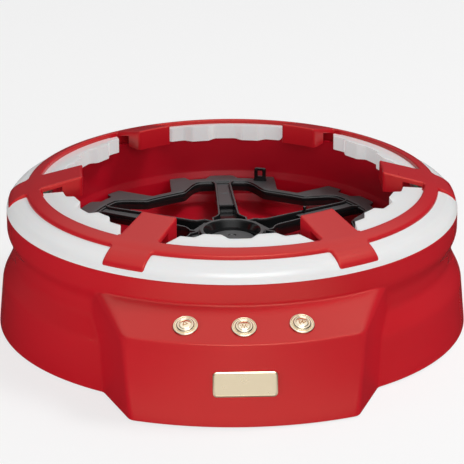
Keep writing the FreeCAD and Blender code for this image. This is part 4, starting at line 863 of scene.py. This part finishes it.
@dataclass
class SplashGuard:
    """The white diffuser ring and the red six-bar frame on it."""

    inner_radius: float = 114.0
    lobe_depth: float = 4.2
    lobe_angle: float = 9.0
    lobe_half: float = 4.4
    inner_foot: float = 87.5
    cut_reach: float = 128.8
    wall: float = 2.2
    rim_radius: float = 150.0
    rim_height: float = 80.2
    ring_inner: float = 127.6
    ring_outer: float = 136.9
    bar_inner: float = 99.8
    bar_outer: float = 148.8
    block_foot: float = 90.5
    block_back: float = 113.2
    edge_round: float = 1.5
    bar_fillet: float = 1.6
    cut_offset: float = 18.5
    cut_slope: float = 0.48
    cut_from: float = 118.0
    backing_half: float = 9.3

    def white_height(self, radius: np.ndarray) -> np.ndarray:
        """The diffuser's top: a gentle cone that falls away to the rounded brow at the rim."""
        runs = np.array([(100.0, 101.4), (113.5, 97.8), (127.6, 93.9), (136.9, 91.4), (142.6, 89.2),
                         (146.3, 86.9), (148.6, 84.2), (149.7, 82.0), (150.0, 80.2)])
        return np.interp(radius, runs[:, 0], runs[:, 1])

    def edge_radius(self, angle: np.ndarray) -> np.ndarray:
        """The diffuser's inner edge: a circle with two lobes per segment, cut back at each bar.

        Formula: in a bar's own frame the cut is the line y = o - s (x - c), so its radius is
        (o + s c) / (sin d + s cos d) at the angle d from the bar.
        """
        middle = bend_of(angle, BAR_COUNT, BAR_STEP / 2)
        lobes = np.zeros_like(angle)
        for side in (-1, 1):
            away = np.degrees(np.abs(middle - side * math.radians(self.lobe_angle)))
            lobes = np.maximum(lobes, 1 - smooth_step(away, self.lobe_half - 1.9, self.lobe_half + 1.5))
        plain = self.inner_radius - self.lobe_depth * lobes
        from_bar = np.abs(bend_of(angle, BAR_COUNT))
        cut = self.cut_offset + self.cut_slope * self.cut_from
        cut = cut / (np.sin(from_bar) + self.cut_slope * np.cos(from_bar))
        edge = np.where(from_bar < math.radians(12.0), smooth_max(plain, cut, 1.0), plain)
        return np.minimum(edge, self.cut_reach)

    def diffuser(self) -> bpy.types.Object:
        """Builds the diffuser: each column is a closed channel section from its own inner edge to the rim."""
        fine = np.radians(np.concatenate([
            np.arange(0, 12, 0.15), np.arange(12, 48, 0.25), np.arange(48, 60, 0.15)]))
        angles = np.concatenate([fine + index * BAR_STEP for index in range(BAR_COUNT)])
        edge = self.edge_radius(angles)
        share = np.concatenate([np.linspace(0, 0.62, 14), np.linspace(0.66, 1.0, 16)])
        radius = edge + (self.rim_radius - edge) * share[:, None]
        top = self.white_height(radius)
        bead = 0.45 * np.exp(-(radius - edge) / 0.5)
        depth = self.white_height(edge) - self.wall
        foot = self.inner_foot + (depth - self.inner_foot) * smooth_step(edge, 115.0, 120.0)
        within = self.rim_radius - self.wall
        under_radius = np.clip(radius[::-1], (edge + self.wall)[None], within)
        under = np.maximum(self.white_height(under_radius) - self.wall - 0.5, self.rim_height)
        points = np.stack([
            polar(edge, angles, foot), polar(edge, angles, foot + 0.5), *polar(radius, angles, top - bead),
            polar(within, angles, self.rim_height), *polar(under_radius, angles, under),
            polar(edge + self.wall, angles, foot)])
        return make_piece("diffuser_ring", points, grid_faces(len(points), len(angles), Wrap.BOTH), 60.0)

    def half_width(self, radius: np.ndarray) -> np.ndarray:
        """A bar's half width: a taper, with a small fillet where it meets the ring on either side."""
        taper = 12.7 + (radius - self.bar_inner) * (14.9 - 12.7) / (self.bar_outer - self.bar_inner)
        gap = np.maximum(self.ring_inner - radius, radius - self.ring_outer)
        flare = np.where(gap < self.bar_fillet, self.round_over(gap, self.bar_fillet), 0)
        corner = self.round_over(radius - self.bar_inner, 2.0) + self.round_over(self.bar_outer - radius, 1.2)
        return taper + flare - corner

    @staticmethod
    def round_over(distance: np.ndarray, radius: float) -> np.ndarray:
        """How far a quarter-round edge drops at a distance d in from it: r - sqrt(r r - (r - d)(r - d))."""
        inward = radius - np.clip(distance, 0, radius)
        return radius - np.sqrt(np.clip(radius ** 2 - inward ** 2, 0, None))

    def red_height(self, radius: np.ndarray) -> np.ndarray:
        """The frame's top along a bar: a straight cone to the ring, then rounded down over the brow."""
        runs = np.array([
            (99.0, 104.9), (113.0, 101.1), (127.6, 97.2), (132.3, 95.6), (136.9, 93.7), (141.0, 91.9),
            (144.4, 89.9), (147.0, 87.6), (148.8, 85.5)])
        return np.interp(radius, runs[:, 0], runs[:, 1])

    def bars(self) -> bpy.types.Object:
        """Builds the frame on a grid whose columns follow the bars' edges, open where there is no frame.

        Formula: column shares run over each bar and each gap between bars; at each radius the bar's edge
        lies at asin(w / r) from its axis, so the columns bend with the bar's outline.
        """
        near = np.array([0.0, 0.1, 0.3, 0.6, 1.0, 1.5, 2.1])
        radii = np.unique(np.concatenate([
            self.bar_inner + near, np.linspace(self.bar_inner + 3, self.block_back, 6),
            [self.block_back + 0.05],
            np.linspace(self.block_back + 1.5, 125.4, 6), np.linspace(126.0, self.ring_inner, 5),
            self.ring_inner + near, [132.25], self.ring_outer - near, np.linspace(self.ring_outer, 138.5, 5),
            np.linspace(139.5, self.bar_outer - 2.1, 8), self.bar_outer - near]).round(4))
        shoulder = 1 - near / 13.8
        across = np.concatenate([-shoulder, np.linspace(-0.6, 0.6, 5), shoulder[::-1]])
        between = np.linspace(0, 1, 40)[1:-1]
        half = self.half_width(radii)
        edge = np.arcsin(np.minimum(half / radii, 1))
        in_bar = edge[:, None] * across[None]
        in_gap = edge[:, None] + (BAR_STEP - 2 * edge[:, None]) * between[None]
        sector = np.concatenate([in_bar, in_gap], axis=1)
        angles = np.concatenate([sector + index * BAR_STEP for index in range(BAR_COUNT)], axis=1)
        radius = np.broadcast_to(radii[:, None], angles.shape)
        columns = angles.shape[1]
        side = half[:, None] * (1 - np.abs(np.concatenate([across, np.full(len(between), 1.0)])))[None]
        side = np.tile(side, (1, BAR_COUNT))
        from_bar = np.minimum(np.minimum(side, radius - self.bar_inner), self.bar_outer - radius)
        from_ring = np.minimum(radius - self.ring_inner, self.ring_outer - radius)
        crown = 0.25 * np.cos(np.clip((radius - 132.25) / 4.65, -1, 1) * math.pi / 2)
        top = self.red_height(radius) + np.where(from_ring > 0, crown, 0)
        top = top - self.round_over(np.maximum(from_bar, from_ring), self.edge_round)
        under = np.maximum(self.white_height(radius) + 0.1, 80.5)
        block = self.block_foot + 0.05 * np.abs(radius - 108.0) ** 1.1
        under = np.where(radius <= self.block_back, block, under)
        per_sector = len(across) + len(between)
        cell = np.arange(columns) % per_sector
        bar_cell = cell < len(across) - 1
        middle_radius = (radii[1:] + radii[:-1]) / 2
        ring_row = (middle_radius > self.ring_inner) & (middle_radius < self.ring_outer)
        mask = ring_row[:, None] | bar_cell[None, :]
        faces = self.solid_faces(mask, len(radii), columns)
        points = polar(radius, angles, np.stack([top, under]))
        piece = make_piece("six_bar_frame", points, faces, 50.0)
        remove_loose(piece.data)
        return piece

    def backing(self) -> bpy.types.Object:
        """Builds the low curved walls that close the ring's inner side on both sides of each bar."""
        half = math.radians(self.backing_half)
        angles = np.linspace(-half, half, 41)
        section = np.array([(126.1, 86.0), (126.1, 94.2), (126.3, 94.5), (127.7, 94.5), (127.7, 86.0)])
        rows, columns = len(section), len(angles)
        faces = grid_faces(rows, columns, Wrap.ROWS).tolist()
        faces += [list(range(start, rows * columns, columns)) for start in (0, columns - 1)]
        return joined("frame_backing", [
            make_piece(f"backing_{index}", turned_points(section, angles + index * BAR_STEP), faces, 40.0)
            for index in range(BAR_COUNT)])

    @staticmethod
    def solid_faces(mask: np.ndarray, rows: int, columns: int) -> list[list[int]]:
        """Faces of a slab over the cells of a mask: top, underside, and a wall along every open side.

        Args:
            mask: Which cells hold material, shape (rows - 1, columns), closed round the columns.
            rows: Rows of points.
            columns: Columns of points.

        Returns:
            Corner numbers of each face; the lower points follow the upper ones.
        """
        count = rows * columns
        row, column = np.nonzero(mask)
        right = (column + 1) % columns
        corners = np.stack([row * columns + column, row * columns + right,
                            (row + 1) * columns + right, (row + 1) * columns + column], axis=-1)
        faces = corners.tolist() + (corners[:, ::-1] + count).tolist()
        padded = np.pad(mask, ((1, 1), (0, 0)))
        sides = (
            (~padded[:-2], 0, 1), (~np.roll(mask, -1, axis=1), 1, 2),
            (~padded[2:], 2, 3), (~np.roll(mask, 1, axis=1), 3, 0),
        )
        for open_side, start, end in sides:
            chosen = open_side[row, column]
            first = corners[chosen, start]
            second = corners[chosen, end]
            faces += np.stack([second, first, first + count, second + count], axis=-1).tolist()
        return faces

    def build(self, materials: Materials) -> None:
        """Builds and dresses the ring and the frame.

        Args:
            materials: The machine's materials.
        """
        dressed(self.diffuser(), Body.GUARD, materials[Finish.DIFFUSER], ["light_ring"])
        dressed(self.bars(), Body.GUARD, materials[Finish.FRAME], ["rim_frame"])
        dressed(self.backing(), Body.GUARD, materials[Finish.FRAME])


@dataclass
class Bowl:
    """The red splash bowl with its stepped wall."""

    bore: float = 4.6
    boss_top: float = 47.5
    floor: float = 42.5
    under: float = 40.3
    wall_foot: float = 108.0
    step: float = 57.6
    wall_top: float = 119.5
    lip: float = 90.0
    flange: tuple[float, float] = (77.5, 79.7)
    flange_reach: float = 144.9

    def build(self, materials: Materials) -> None:
        """Builds the bowl as one turned section with rounded corners, and dresses it.

        Args:
            materials: The machine's materials.
        """
        low, high = self.flange
        corners = [
            (self.bore, self.boss_top, 0.1), (14.0, self.boss_top, 1.2), (17.5, self.floor + 1.5, 2.0),
            (self.wall_foot, self.floor, 4.0), (self.wall_foot + 6.4, self.floor + 4.3, 4.5),
            (self.wall_top - 4.0, self.step, 6.0), (self.wall_top - 2.0, self.step + 4.8, 6.0),
            (self.wall_top, self.lip - 0.6, 0.4), (self.wall_top + 0.4, self.lip, 0.4),
            (self.wall_top + 2.2, self.lip, 0.5), (self.wall_top + 1.5, high, 0.8),
            (self.flange_reach, high, 0.3), (self.flange_reach, low, 0.3), (self.wall_top + 1.4, low, 1.0),
            (self.wall_top + 0.3, self.step + 2.4, 2.0), (self.wall_top - 1.7, self.step, 2.0),
            (self.wall_foot + 8.6, self.floor + 3.1, 4.0), (self.wall_foot + 0.8, self.under, 4.0),
            (17.0, self.under + 1.5, 1.0), (15.5, self.under + 1.1, 0.5), (self.bore, self.under + 1.1, 0.1),
        ]
        piece = turned_piece("paint_bowl", corners, 360, 6, 30.0)
        dressed(piece, Body.BASE, materials[Finish.BOWL], ["splash_bowl"])


@dataclass
class PaperTable:
    """The black paper holder: a wavy rim with tabs, six channelled spokes, a dished hub, clips and pins."""

    top: float = 60.5
    flange: float = 2.2
    foot: float = 53.7
    rib: float = 2.0
    crest: float = 98.8
    dip: float = 83.4
    tab_reach: float = 112.5
    waist_reach: float = 107.0
    tab_half: float = 37.0
    first_spoke: float = math.radians(91.3)
    hub_outer: float = 26.0
    hub_foot: float = 51.0
    channel: float = 1.9
    pocket: tuple[float, float] = (26.0, 56.0)
    pocket_depth: float = 4.2
    rail: float = 1.25
    clip_count: int = 3
    clip_radii: tuple[float, ...] = (101.5, 101.75, 103.05, 103.3)
    clip_middle: float = 4.7
    steep: float = 0.72

    def inner_line(self, bend: np.ndarray) -> np.ndarray:
        """The rim's inner line: out at each spoke, eased in to a shallow dip between them."""
        ease = smooth_step(np.abs(bend), 9.0, 20.5)
        sag = 1.2 * np.cos(np.radians(np.clip(np.abs(bend) - 30, -12, 12)) * 7.5)
        return self.crest + (self.dip - self.crest) * ease - np.maximum(sag, 0)

    def outer_line(self, bend: np.ndarray) -> np.ndarray:
        """The rim's outer line: a bump at each spoke's end, a tab on either side, else a narrow flange.

        Formula: a tab's far side runs parallel to its spoke at a distance h, so there r = h / sin(bend).
        """
        away = np.abs(bend)
        flange = self.inner_line(bend) + 5.6
        waist = self.waist_reach + (self.tab_reach - self.waist_reach) * (1 - smooth_step(away, 3.6, 6.4))
        tab = self.waist_reach + (self.tab_reach - self.waist_reach) * smooth_step(away, 12.2, 13.8)
        lobe = np.maximum(waist, tab)
        far_side = self.tab_half / np.sin(np.radians(np.maximum(away, 5.0)))
        return smooth_max(smooth_min(lobe, far_side, 2.5), flange, 2.5)

    def rim(self) -> bpy.types.Object:
        """Builds the rim: each column is a closed section from the inner rib to the outer line."""
        coarse = np.concatenate([
            np.arange(-30, -25, 0.5), np.arange(-25, -18, 0.15), np.arange(-18, -2, 0.3)])
        bend = np.concatenate([coarse, np.arange(-2, 2, 0.5), -coarse[::-1][:-1]])
        bend = np.unique(bend.round(3))
        angles = np.concatenate([
            np.radians(bend) + self.first_spoke + index * SPOKE_STEP for index in range(SPOKE_COUNT)])
        inner = np.tile(self.inner_line(bend), SPOKE_COUNT)
        outer = np.tile(self.outer_line(bend), SPOKE_COUNT)
        top, foot = self.top, self.foot
        under = top - self.flange
        shelf = inner + 1.3
        span = outer - shelf - 0.6
        rib = inner + self.rib
        loop = [
            (inner, foot), (inner - 0.12, foot + 2.5), (inner - 0.05, top - 1.35), (inner + 0.1, top - 1.1),
            (inner + 0.75, top - 1.05), (inner + 0.95, top - 0.9), (inner + 1.05, top - 0.25), (shelf, top),
            *((shelf + span * share, top) for share in (0.25, 0.5, 0.75, 1.0)),
            (outer - 0.3, top - 0.1), (outer - 0.08, top - 0.3), (outer, top - 0.6), (outer, under + 0.3),
            (outer - 0.3, under), (shelf + span * 0.5, under), (rib + 0.3, under), (rib, under - 0.3),
            (rib, foot + 0.2), (rib - 0.2, foot)]
        points = np.stack([polar(radius, angles, level) for radius, level in loop])
        return make_piece("rim_part", points, grid_faces(len(points), len(angles), Wrap.BOTH), 50.0)

    def half_width(self, reach: np.ndarray) -> np.ndarray:
        """A spoke's half width: a straight taper with a fillet at the rim and another at the hub."""
        taper = 7.6 + (reach - 20.0) * (5.6 - 7.6) / 80.5
        rim_fillet = 3.2 * np.clip((reach - 94.5) / 6.0, 0, 1) ** 2.2
        hub_fillet = 4.5 * np.clip((35.0 - reach) / 9.0, 0, 1) ** 2.2
        return taper + rim_fillet + hub_fillet

    def spoke(self, index: int) -> bpy.types.Object:
        """Builds one spoke: a channel section carried from the hub to the rim, with a pocket near the hub."""
        start, end = self.pocket
        reach = np.unique(np.concatenate([
            np.linspace(20.0, start - 0.6, 9), np.linspace(start - 0.5, start + 0.7, 7),
            np.linspace(start + 1, end - 1, 10), np.linspace(end - 0.7, end + 0.5, 7),
            np.linspace(end + 1, 77.6, 9), np.linspace(78.0, 81.2, 9), np.linspace(82, 91, 6),
            np.linspace(91.4, 100.2, 14)]).round(3))
        half = self.half_width(reach)
        foot = self.foot - 2.4 * (1 - smooth_step(reach, 24.0, 88.0))
        rail, top = self.rail, self.top - 0.05
        across = np.linspace(-1, 1, 17)[None] * (half - rail - 0.35)[:, None]
        near = (half - rail - 0.5)[:, None]
        along = smooth_step(reach, start - 0.2, start + 0.4) * (1 - smooth_step(reach, end - 0.4, end + 0.2))
        deck = top - self.channel - self.pocket_depth * along[:, None] * (
            1 - smooth_step(np.abs(across), near - 0.5, near))
        deck += 0.5 * np.exp(-((reach[:, None] - 79.6) / 0.55) ** 2) * (np.abs(across) < 2.6)
        under = np.minimum(deck[:, 8] - 1.0, top - self.channel - 1.0)
        wall = half - rail - 0.5
        upper = [(half, top - 0.35), (half - 0.3, top), (half - rail, top), (half - rail - 0.25, top - 0.25)]
        lower = [(half, foot + 0.2), (half - 0.2, foot), (wall, foot), (wall, under)]
        loop = [(-y, z) for y, z in upper] + list(zip(across.T, deck.T)) + upper[::-1]
        loop += lower + [(-y, z) for y, z in reversed(lower)]
        points = np.stack([np.stack(np.broadcast_arrays(reach, y, z), axis=-1) for y, z in loop], axis=1)
        points = spun(points, self.first_spoke + index * SPOKE_STEP)
        return make_piece(f"spoke_{index}", points, bar_faces(*points.shape[:2]), 50.0)

    def hub(self) -> bpy.types.Object:
        """Builds the hub: deck, rounded lip, concave dish, floor and the boss round the spindle."""
        top = self.top
        corners = [
            (2.6, 53.5, 0.1), (16.2, 53.5, 1.4), (16.8, 56.4, 1.6), (18.6, top - 0.4, 1.0),
            (19.3, top + 0.9, 0.8), (21.6, top + 0.9, 0.8), (22.0, top - 1.9, 0.6),
            (self.hub_outer, top - 2.2, 0.4),
            (self.hub_outer, top - 4.2, 0.3), (22.0, top - 4.2, 0.8), (21.5, self.hub_foot, 0.4),
            (8.4, self.hub_foot, 0.6), (8.0, 49.0, 0.4), (2.6, 49.0, 0.1),
        ]
        return turned_piece("hub_part", corners, 144, 5, 40.0)

    @staticmethod
    def rounded_square(wide: float, tall: float, power: float, middle: float) -> np.ndarray:
        """An upright rounded square about a middle height: |y / wide|^p + |z / tall|^p = 1."""
        turn = np.linspace(0, 2 * math.pi, 64, endpoint=False)
        scale = (np.abs(np.cos(turn)) ** power + np.abs(np.sin(turn)) ** power) ** (-1 / power)
        return np.column_stack([wide * scale * np.cos(turn), middle + tall * scale * np.sin(turn)])

    def clip(self, index: int) -> bpy.types.Object:
        """Builds one upright clip: a plate with a flared foot and a square window, of even thickness."""
        middle = self.top + self.clip_middle
        outer = self.rounded_square(4.1, 4.8, 9.0, middle)
        outer[:, 0] *= 1 + 0.22 * smooth_step(middle - outer[:, 1], 2.6, 4.8)
        inner = self.rounded_square(1.7, 2.1, 8.0, middle + 0.9)
        slim = np.column_stack([outer[:, 0] * 0.94, middle + (outer[:, 1] - middle) * 0.95])
        back, back_edge, front_edge, front = self.clip_radii
        loops = [(inner, back), (slim, back), (outer, back_edge), (outer, front_edge), (slim, front),
                 (inner, front)]
        points = np.stack([np.column_stack([np.full(len(flat), depth), flat]) for flat, depth in loops])
        points = spun(points, self.first_spoke - math.radians(15.0) + index * 2 * math.pi / self.clip_count)
        return make_piece(f"clip_{index}", points, grid_faces(*points.shape[:2], Wrap.BOTH), 40.0)

    def pin(self, index: int) -> bpy.types.Object:
        """Builds one paper pin: a short round-topped peg on a spoke's rail."""
        outline = np.array([[0, -1.0], [1.1, -1.0], [1.1, 2.4], [0.95, 2.75], [0.6, 2.95], [0.0, 3.0]])
        angle = self.first_spoke - math.radians(60) + index * 2 * math.pi / self.clip_count
        place = Matrix.Rotation(angle, 4, "Z") @ Matrix.Translation((63.0, 5.0, self.top))
        return turned_on(f"pin_{index}", outline, 20, place, 40.0)

    def cap(self) -> bpy.types.Object:
        """Builds the hub's cap: a low dome with a rounded rim, a step and a dimple, closed on its axis."""
        outline = np.array([
            [0, 53.6], [15.4, 53.6], [15.5, 53.8], [15.5, 54.5], [15.3, 54.9], [14.8, 55.1], [13.6, 55.2],
            [13.2, 55.5], [11.0, 56.2], [8.0, 56.9], [5.0, 57.25], [3.2, 57.3], [2.8, 57.1], [2.4, 56.5],
            [0, 56.4]])
        return turned_on("hub_cover", outline, 96, Matrix.Identity(4), 30.0)

    def build(self, materials: Materials) -> None:
        """Builds and dresses the holder and its cap: level faces take the lighter, grainier black as painted
        light; walls and sunk floors take the darker, glossier black as painted shade.

        Args:
            materials: The machine's materials.
        """
        parts = [self.rim(), self.hub()] + [self.spoke(index) for index in range(SPOKE_COUNT)]
        parts += [make(index) for make in (self.clip, self.pin) for index in range(self.clip_count)]
        painted_light_top = materials[Finish.TABLE_TOP_PAINTED_LIGHT]
        holder = dressed(joined("paper_holder", parts), Body.TURNTABLE, painted_light_top, ["turntable"])
        cover = dressed(self.cap(), Body.TURNTABLE, painted_light_top, ["hub_cap"])
        for piece in (holder, cover):
            piece.data.materials.append(materials[Finish.TABLE_WALL_PAINTED_SHADE])
            normals, centres = np.empty((2, len(piece.data.polygons) * 3))
            piece.data.polygons.foreach_get("normal", normals)
            piece.data.polygons.foreach_get("center", centres)
            across, along, up = centres.reshape(-1, 3).T / MM
            # Steep walls and the sunk channel floors take the darker black: painted shade.
            sunk_painted_shade = (up < self.top - 3.2) & (np.hypot(across, along) > self.hub_outer - 4)
            painted_shade_faces = (normals.reshape(-1, 3)[:, 2] < self.steep) | sunk_painted_shade
            piece.data.polygons.foreach_set("material_index", painted_shade_faces.astype(np.int32))


class Inside:
    """The construction nodes that stay as they are and only take a finish."""

    by_slot: dict[str, tuple[Finish, tuple[str, ...]]] = {
        "steel": (Finish.STEEL, (
            "frame_screws", "hub_screw", "spindle", "spindle_clip", "motor_shaft", "drive_motor",
            "motor_screws", "drive_plate", "plate_screws", "bowl_screws", "board_screws", "door_screw",
            "contact_plates", "contact_springs", "cover_screws")),
        "brass": (Finish.BRONZE, ("upper_bush", "lower_bush", "motor_pinion")),
        "gear_white": (Finish.ACETAL, ("drive_gear",)),
        "board": (Finish.BOARD, ("light_board", "control_board")),
        "led": (Finish.CHIP, ("light_leds",)),
        "switch": (Finish.BLACK, ("motor_end_cap", "tact_switches")),
        "cover_black": (Finish.BLACK, ("bottom_cover", "battery_door")),
        "cell": (Finish.CELL, ("battery_cells",)),
        "foot_rubber": (Finish.RUBBER, ("rubber_feet",)),
    }

    def dress(self, materials: Materials) -> None:
        """Gives every remaining node its finish."""
        for slot, (finish, nodes) in self.by_slot.items():
            for node in nodes:
                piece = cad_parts[node]
                piece.data.materials.clear()
                piece.data.materials.append(materials[finish])
                log.info("%s keeps its shape and takes %s", node, materials[finish].name)


# Studio

@dataclass(frozen=True)
class Lamp:
    """A soft rectangular lamp: place and size in metres, and power in watts."""

    name: str
    place: tuple[float, float, float]
    size: tuple[float, float]
    watts: float


@dataclass
class Studio:
    """The pale floor, soft lamps and the camera at the photograph's angle.

    The surround's values are strengths of light, and its spans run over the parts of the direction that the
    light comes from, or over metres on the floor.
    """

    camera_place: tuple[float, float, float] = (-0.0777, -1.7306, 0.7035)
    target: tuple[float, float, float] = (0.0, 0.0, 0.0593)
    lens: float = 214.1
    sensor: float = 36.0
    floor_half: float = 6.0
    floor_colour: tuple[float, float, float, float] = (0.86, 0.86, 0.86, 1)
    floor_lift: float = 0.72
    panel_glow: float = 0.85
    panel_ahead: tuple[float, float] = (-0.185, -0.215)
    panel_across: tuple[float, float] = (0.26, 0.12)
    dome: tuple[float, float] = (0.85, 0.42)
    dome_fade: tuple[float, float] = (0.12, 0.45)
    left_shade: float = 0.40
    left_span: tuple[float, float] = (0.2, -0.5)
    dark: float = 0.05
    overhead: float = 1.15
    overhead_span: tuple[float, float] = (0.40, 0.85)
    ahead: float = 0.75
    ahead_span: tuple[float, float] = (-0.55, -0.95)
    behind: float = 0.05
    behind_span: tuple[float, float] = (0.45, 0.90)
    strip: float = 5.0
    strip_low: tuple[float, float] = (0.70, 0.78)
    strip_high: tuple[float, float] = (0.94, 0.88)
    strip_ahead: tuple[float, float] = (-0.12, -0.28)
    strip_middle: float = 0.08
    strip_across: tuple[float, float] = (0.36, 0.20)
    lamp_target: tuple[float, float, float] = (0.0, 0.0, 0.05)
    lamps: tuple[Lamp, ...] = (
        Lamp("top_softbox", (0.78, 0.05, 1.42), (0.6, 0.5), 12.8),
        Lamp("front_softbox", (0.15, -1.7, 0.8), (1.2, 0.7), 10.0),
        Lamp("low_left_fill", (-1.4, -0.9, 0.16), (0.8, 0.25), 8.0),
    )

    @staticmethod
    def aimed(item: bpy.types.Object, place: Sequence[float], target: Sequence[float]) -> None:
        """Puts a camera or lamp at a place and points it at a target."""
        item.location = place
        item.rotation_euler = (Vector(target) - Vector(place)).to_track_quat("-Z", "Y").to_euler()

    def camera(self) -> None:
        """Sets the camera where the photograph's perspective puts it."""
        data = bpy.data.cameras.new("photo_camera")
        data.lens = self.lens
        data.sensor_width = self.sensor
        camera = in_scene("photo_camera", data)
        self.aimed(camera, self.camera_place, self.target)
        bpy.context.scene.camera = camera

    def floor(self) -> None:
        """Lays a white floor that keeps a soft share of the object's shadow.

        In reflections the floor is bright only right ahead of the front panel.
        """
        half = self.floor_half
        corners = [(-half, -half, 0), (half, -half, 0), (half, half, 0), (-half, half, 0)]
        mesh = bpy.data.meshes.new("studio_floor")
        mesh.from_pydata(corners, [], [(0, 1, 2, 3)])
        floor = in_scene("studio_floor", mesh)
        material, shader, wiring = blank_material("studio_floor")
        wiring.feed(shader, {"Base Color": self.floor_colour, "Roughness": 0.9})
        path = wiring.node("ShaderNodeLightPath").outputs
        across, along, _ = wiring.split(wiring.place("Object"))
        ahead = wiring.ramp(along, self.panel_ahead)
        middle = wiring.ramp(wiring.maths("ABSOLUTE", across), self.panel_across)
        seen = wiring.maths("MULTIPLY_ADD", wiring.maths("MULTIPLY", ahead, middle), self.panel_glow, 0.02)
        lift = wiring.maths("MULTIPLY", path["Is Camera Ray"], self.floor_lift)
        strength = wiring.maths("MAXIMUM", path["Is Camera Ray"], seen)
        glow = wiring.node("ShaderNodeEmission", {"Strength": strength})
        mix = wiring.node("ShaderNodeMixShader", {
            "Fac": wiring.maths("MAXIMUM", path["Is Glossy Ray"], lift),
            1: shader.outputs["BSDF"], 2: glow.outputs["Emission"]})
        wiring.feed(material.node_tree.nodes["Material Output"], {"Surface": mix.outputs["Shader"]})
        mesh.materials.append(material)

    def world(self) -> None:
        """A white surround for the camera, one for light that is brightest low down, and one for reflections.

        The reflected surround is bright overhead and in front and dark at the sides, as soft boxes above
        and ahead of the machine make it. Light from the upper left is weaker than from the right.
        """
        world = bpy.data.worlds.new("studio_world")
        bpy.context.scene.world = world
        world.use_nodes = True
        wiring = Wiring(world.node_tree)
        path = wiring.node("ShaderNodeLightPath").outputs
        across, along, up = wiring.split(wiring.place("Generated"))
        low, high = self.dome
        fade = wiring.ramp(up, self.dome_fade)
        light = wiring.maths("MULTIPLY_ADD", fade, high - low, low)
        left = wiring.maths("MULTIPLY", fade, wiring.ramp(across, self.left_span))
        light = wiring.maths("MULTIPLY_ADD", left, -self.left_shade, light)
        seen = wiring.maths("MULTIPLY_ADD", wiring.ramp(up, self.overhead_span), self.overhead, self.dark)
        seen = wiring.maths("MULTIPLY_ADD", wiring.ramp(along, self.ahead_span), self.ahead, seen)
        seen = wiring.maths("MULTIPLY_ADD", wiring.ramp(along, self.behind_span), self.behind, seen)
        strip = wiring.maths("MULTIPLY", wiring.ramp(up, self.strip_low), wiring.ramp(up, self.strip_high))
        strip = wiring.maths("MULTIPLY", strip, wiring.ramp(along, self.strip_ahead))
        shifted = wiring.maths("ABSOLUTE", wiring.maths("SUBTRACT", across, self.strip_middle))
        strip = wiring.maths("MULTIPLY", strip, wiring.ramp(shifted, self.strip_across))
        seen = wiring.maths("MULTIPLY_ADD", strip, self.strip, seen)
        mixed = wiring.maths("SUBTRACT", seen, light)
        mixed = wiring.maths("MULTIPLY_ADD", mixed, path["Is Glossy Ray"], light)
        rest = wiring.maths("SUBTRACT", 1.0, mixed)
        strength = wiring.maths("MULTIPLY_ADD", rest, path["Is Camera Ray"], mixed)
        wiring.feed(world.node_tree.nodes["Background"], {"Strength": strength, "Color": (1, 1, 1, 1)})

    def light(self) -> None:
        """Hangs the lamps, which reflections don't show."""
        for lamp in self.lamps:
            data = bpy.data.lights.new(lamp.name, "AREA")
            data.shape = "RECTANGLE"
            data.size, data.size_y = lamp.size
            data.energy = lamp.watts
            item = in_scene(lamp.name, data)
            item.visible_glossy = False
            self.aimed(item, lamp.place, self.lamp_target)

    def build(self) -> None:
        """Sets up the whole studio."""
        bpy.context.scene.view_settings.view_transform = "Standard"
        self.camera()
        self.floor()
        self.world()
        self.light()


def main() -> None:
    """Builds the studio, then each sub-assembly."""
    logging.basicConfig(level=logging.INFO, format="%(name)s: %(message)s")
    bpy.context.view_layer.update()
    Studio().build()
    groups = EffectGroups()
    materials = {finish: finish.value.build(groups) for finish in Finish}
    plate = FrontPlate()
    buttons = PushButtons()
    housing = drilled(Housing().build(), [*buttons.cutters(), plate.cutter()], 40.0)
    dressed(housing, Body.BASE, materials[Finish.HOUSING], ["base_housing"])
    dressed(plate.build(), Body.BASE, materials[Finish.PLATE], ["nameplate"])
    for part in (buttons, SplashGuard(), Bowl(), PaperTable()):
        part.build(materials)
    Inside().dress(materials)


if __name__ == "__main__":
    main()
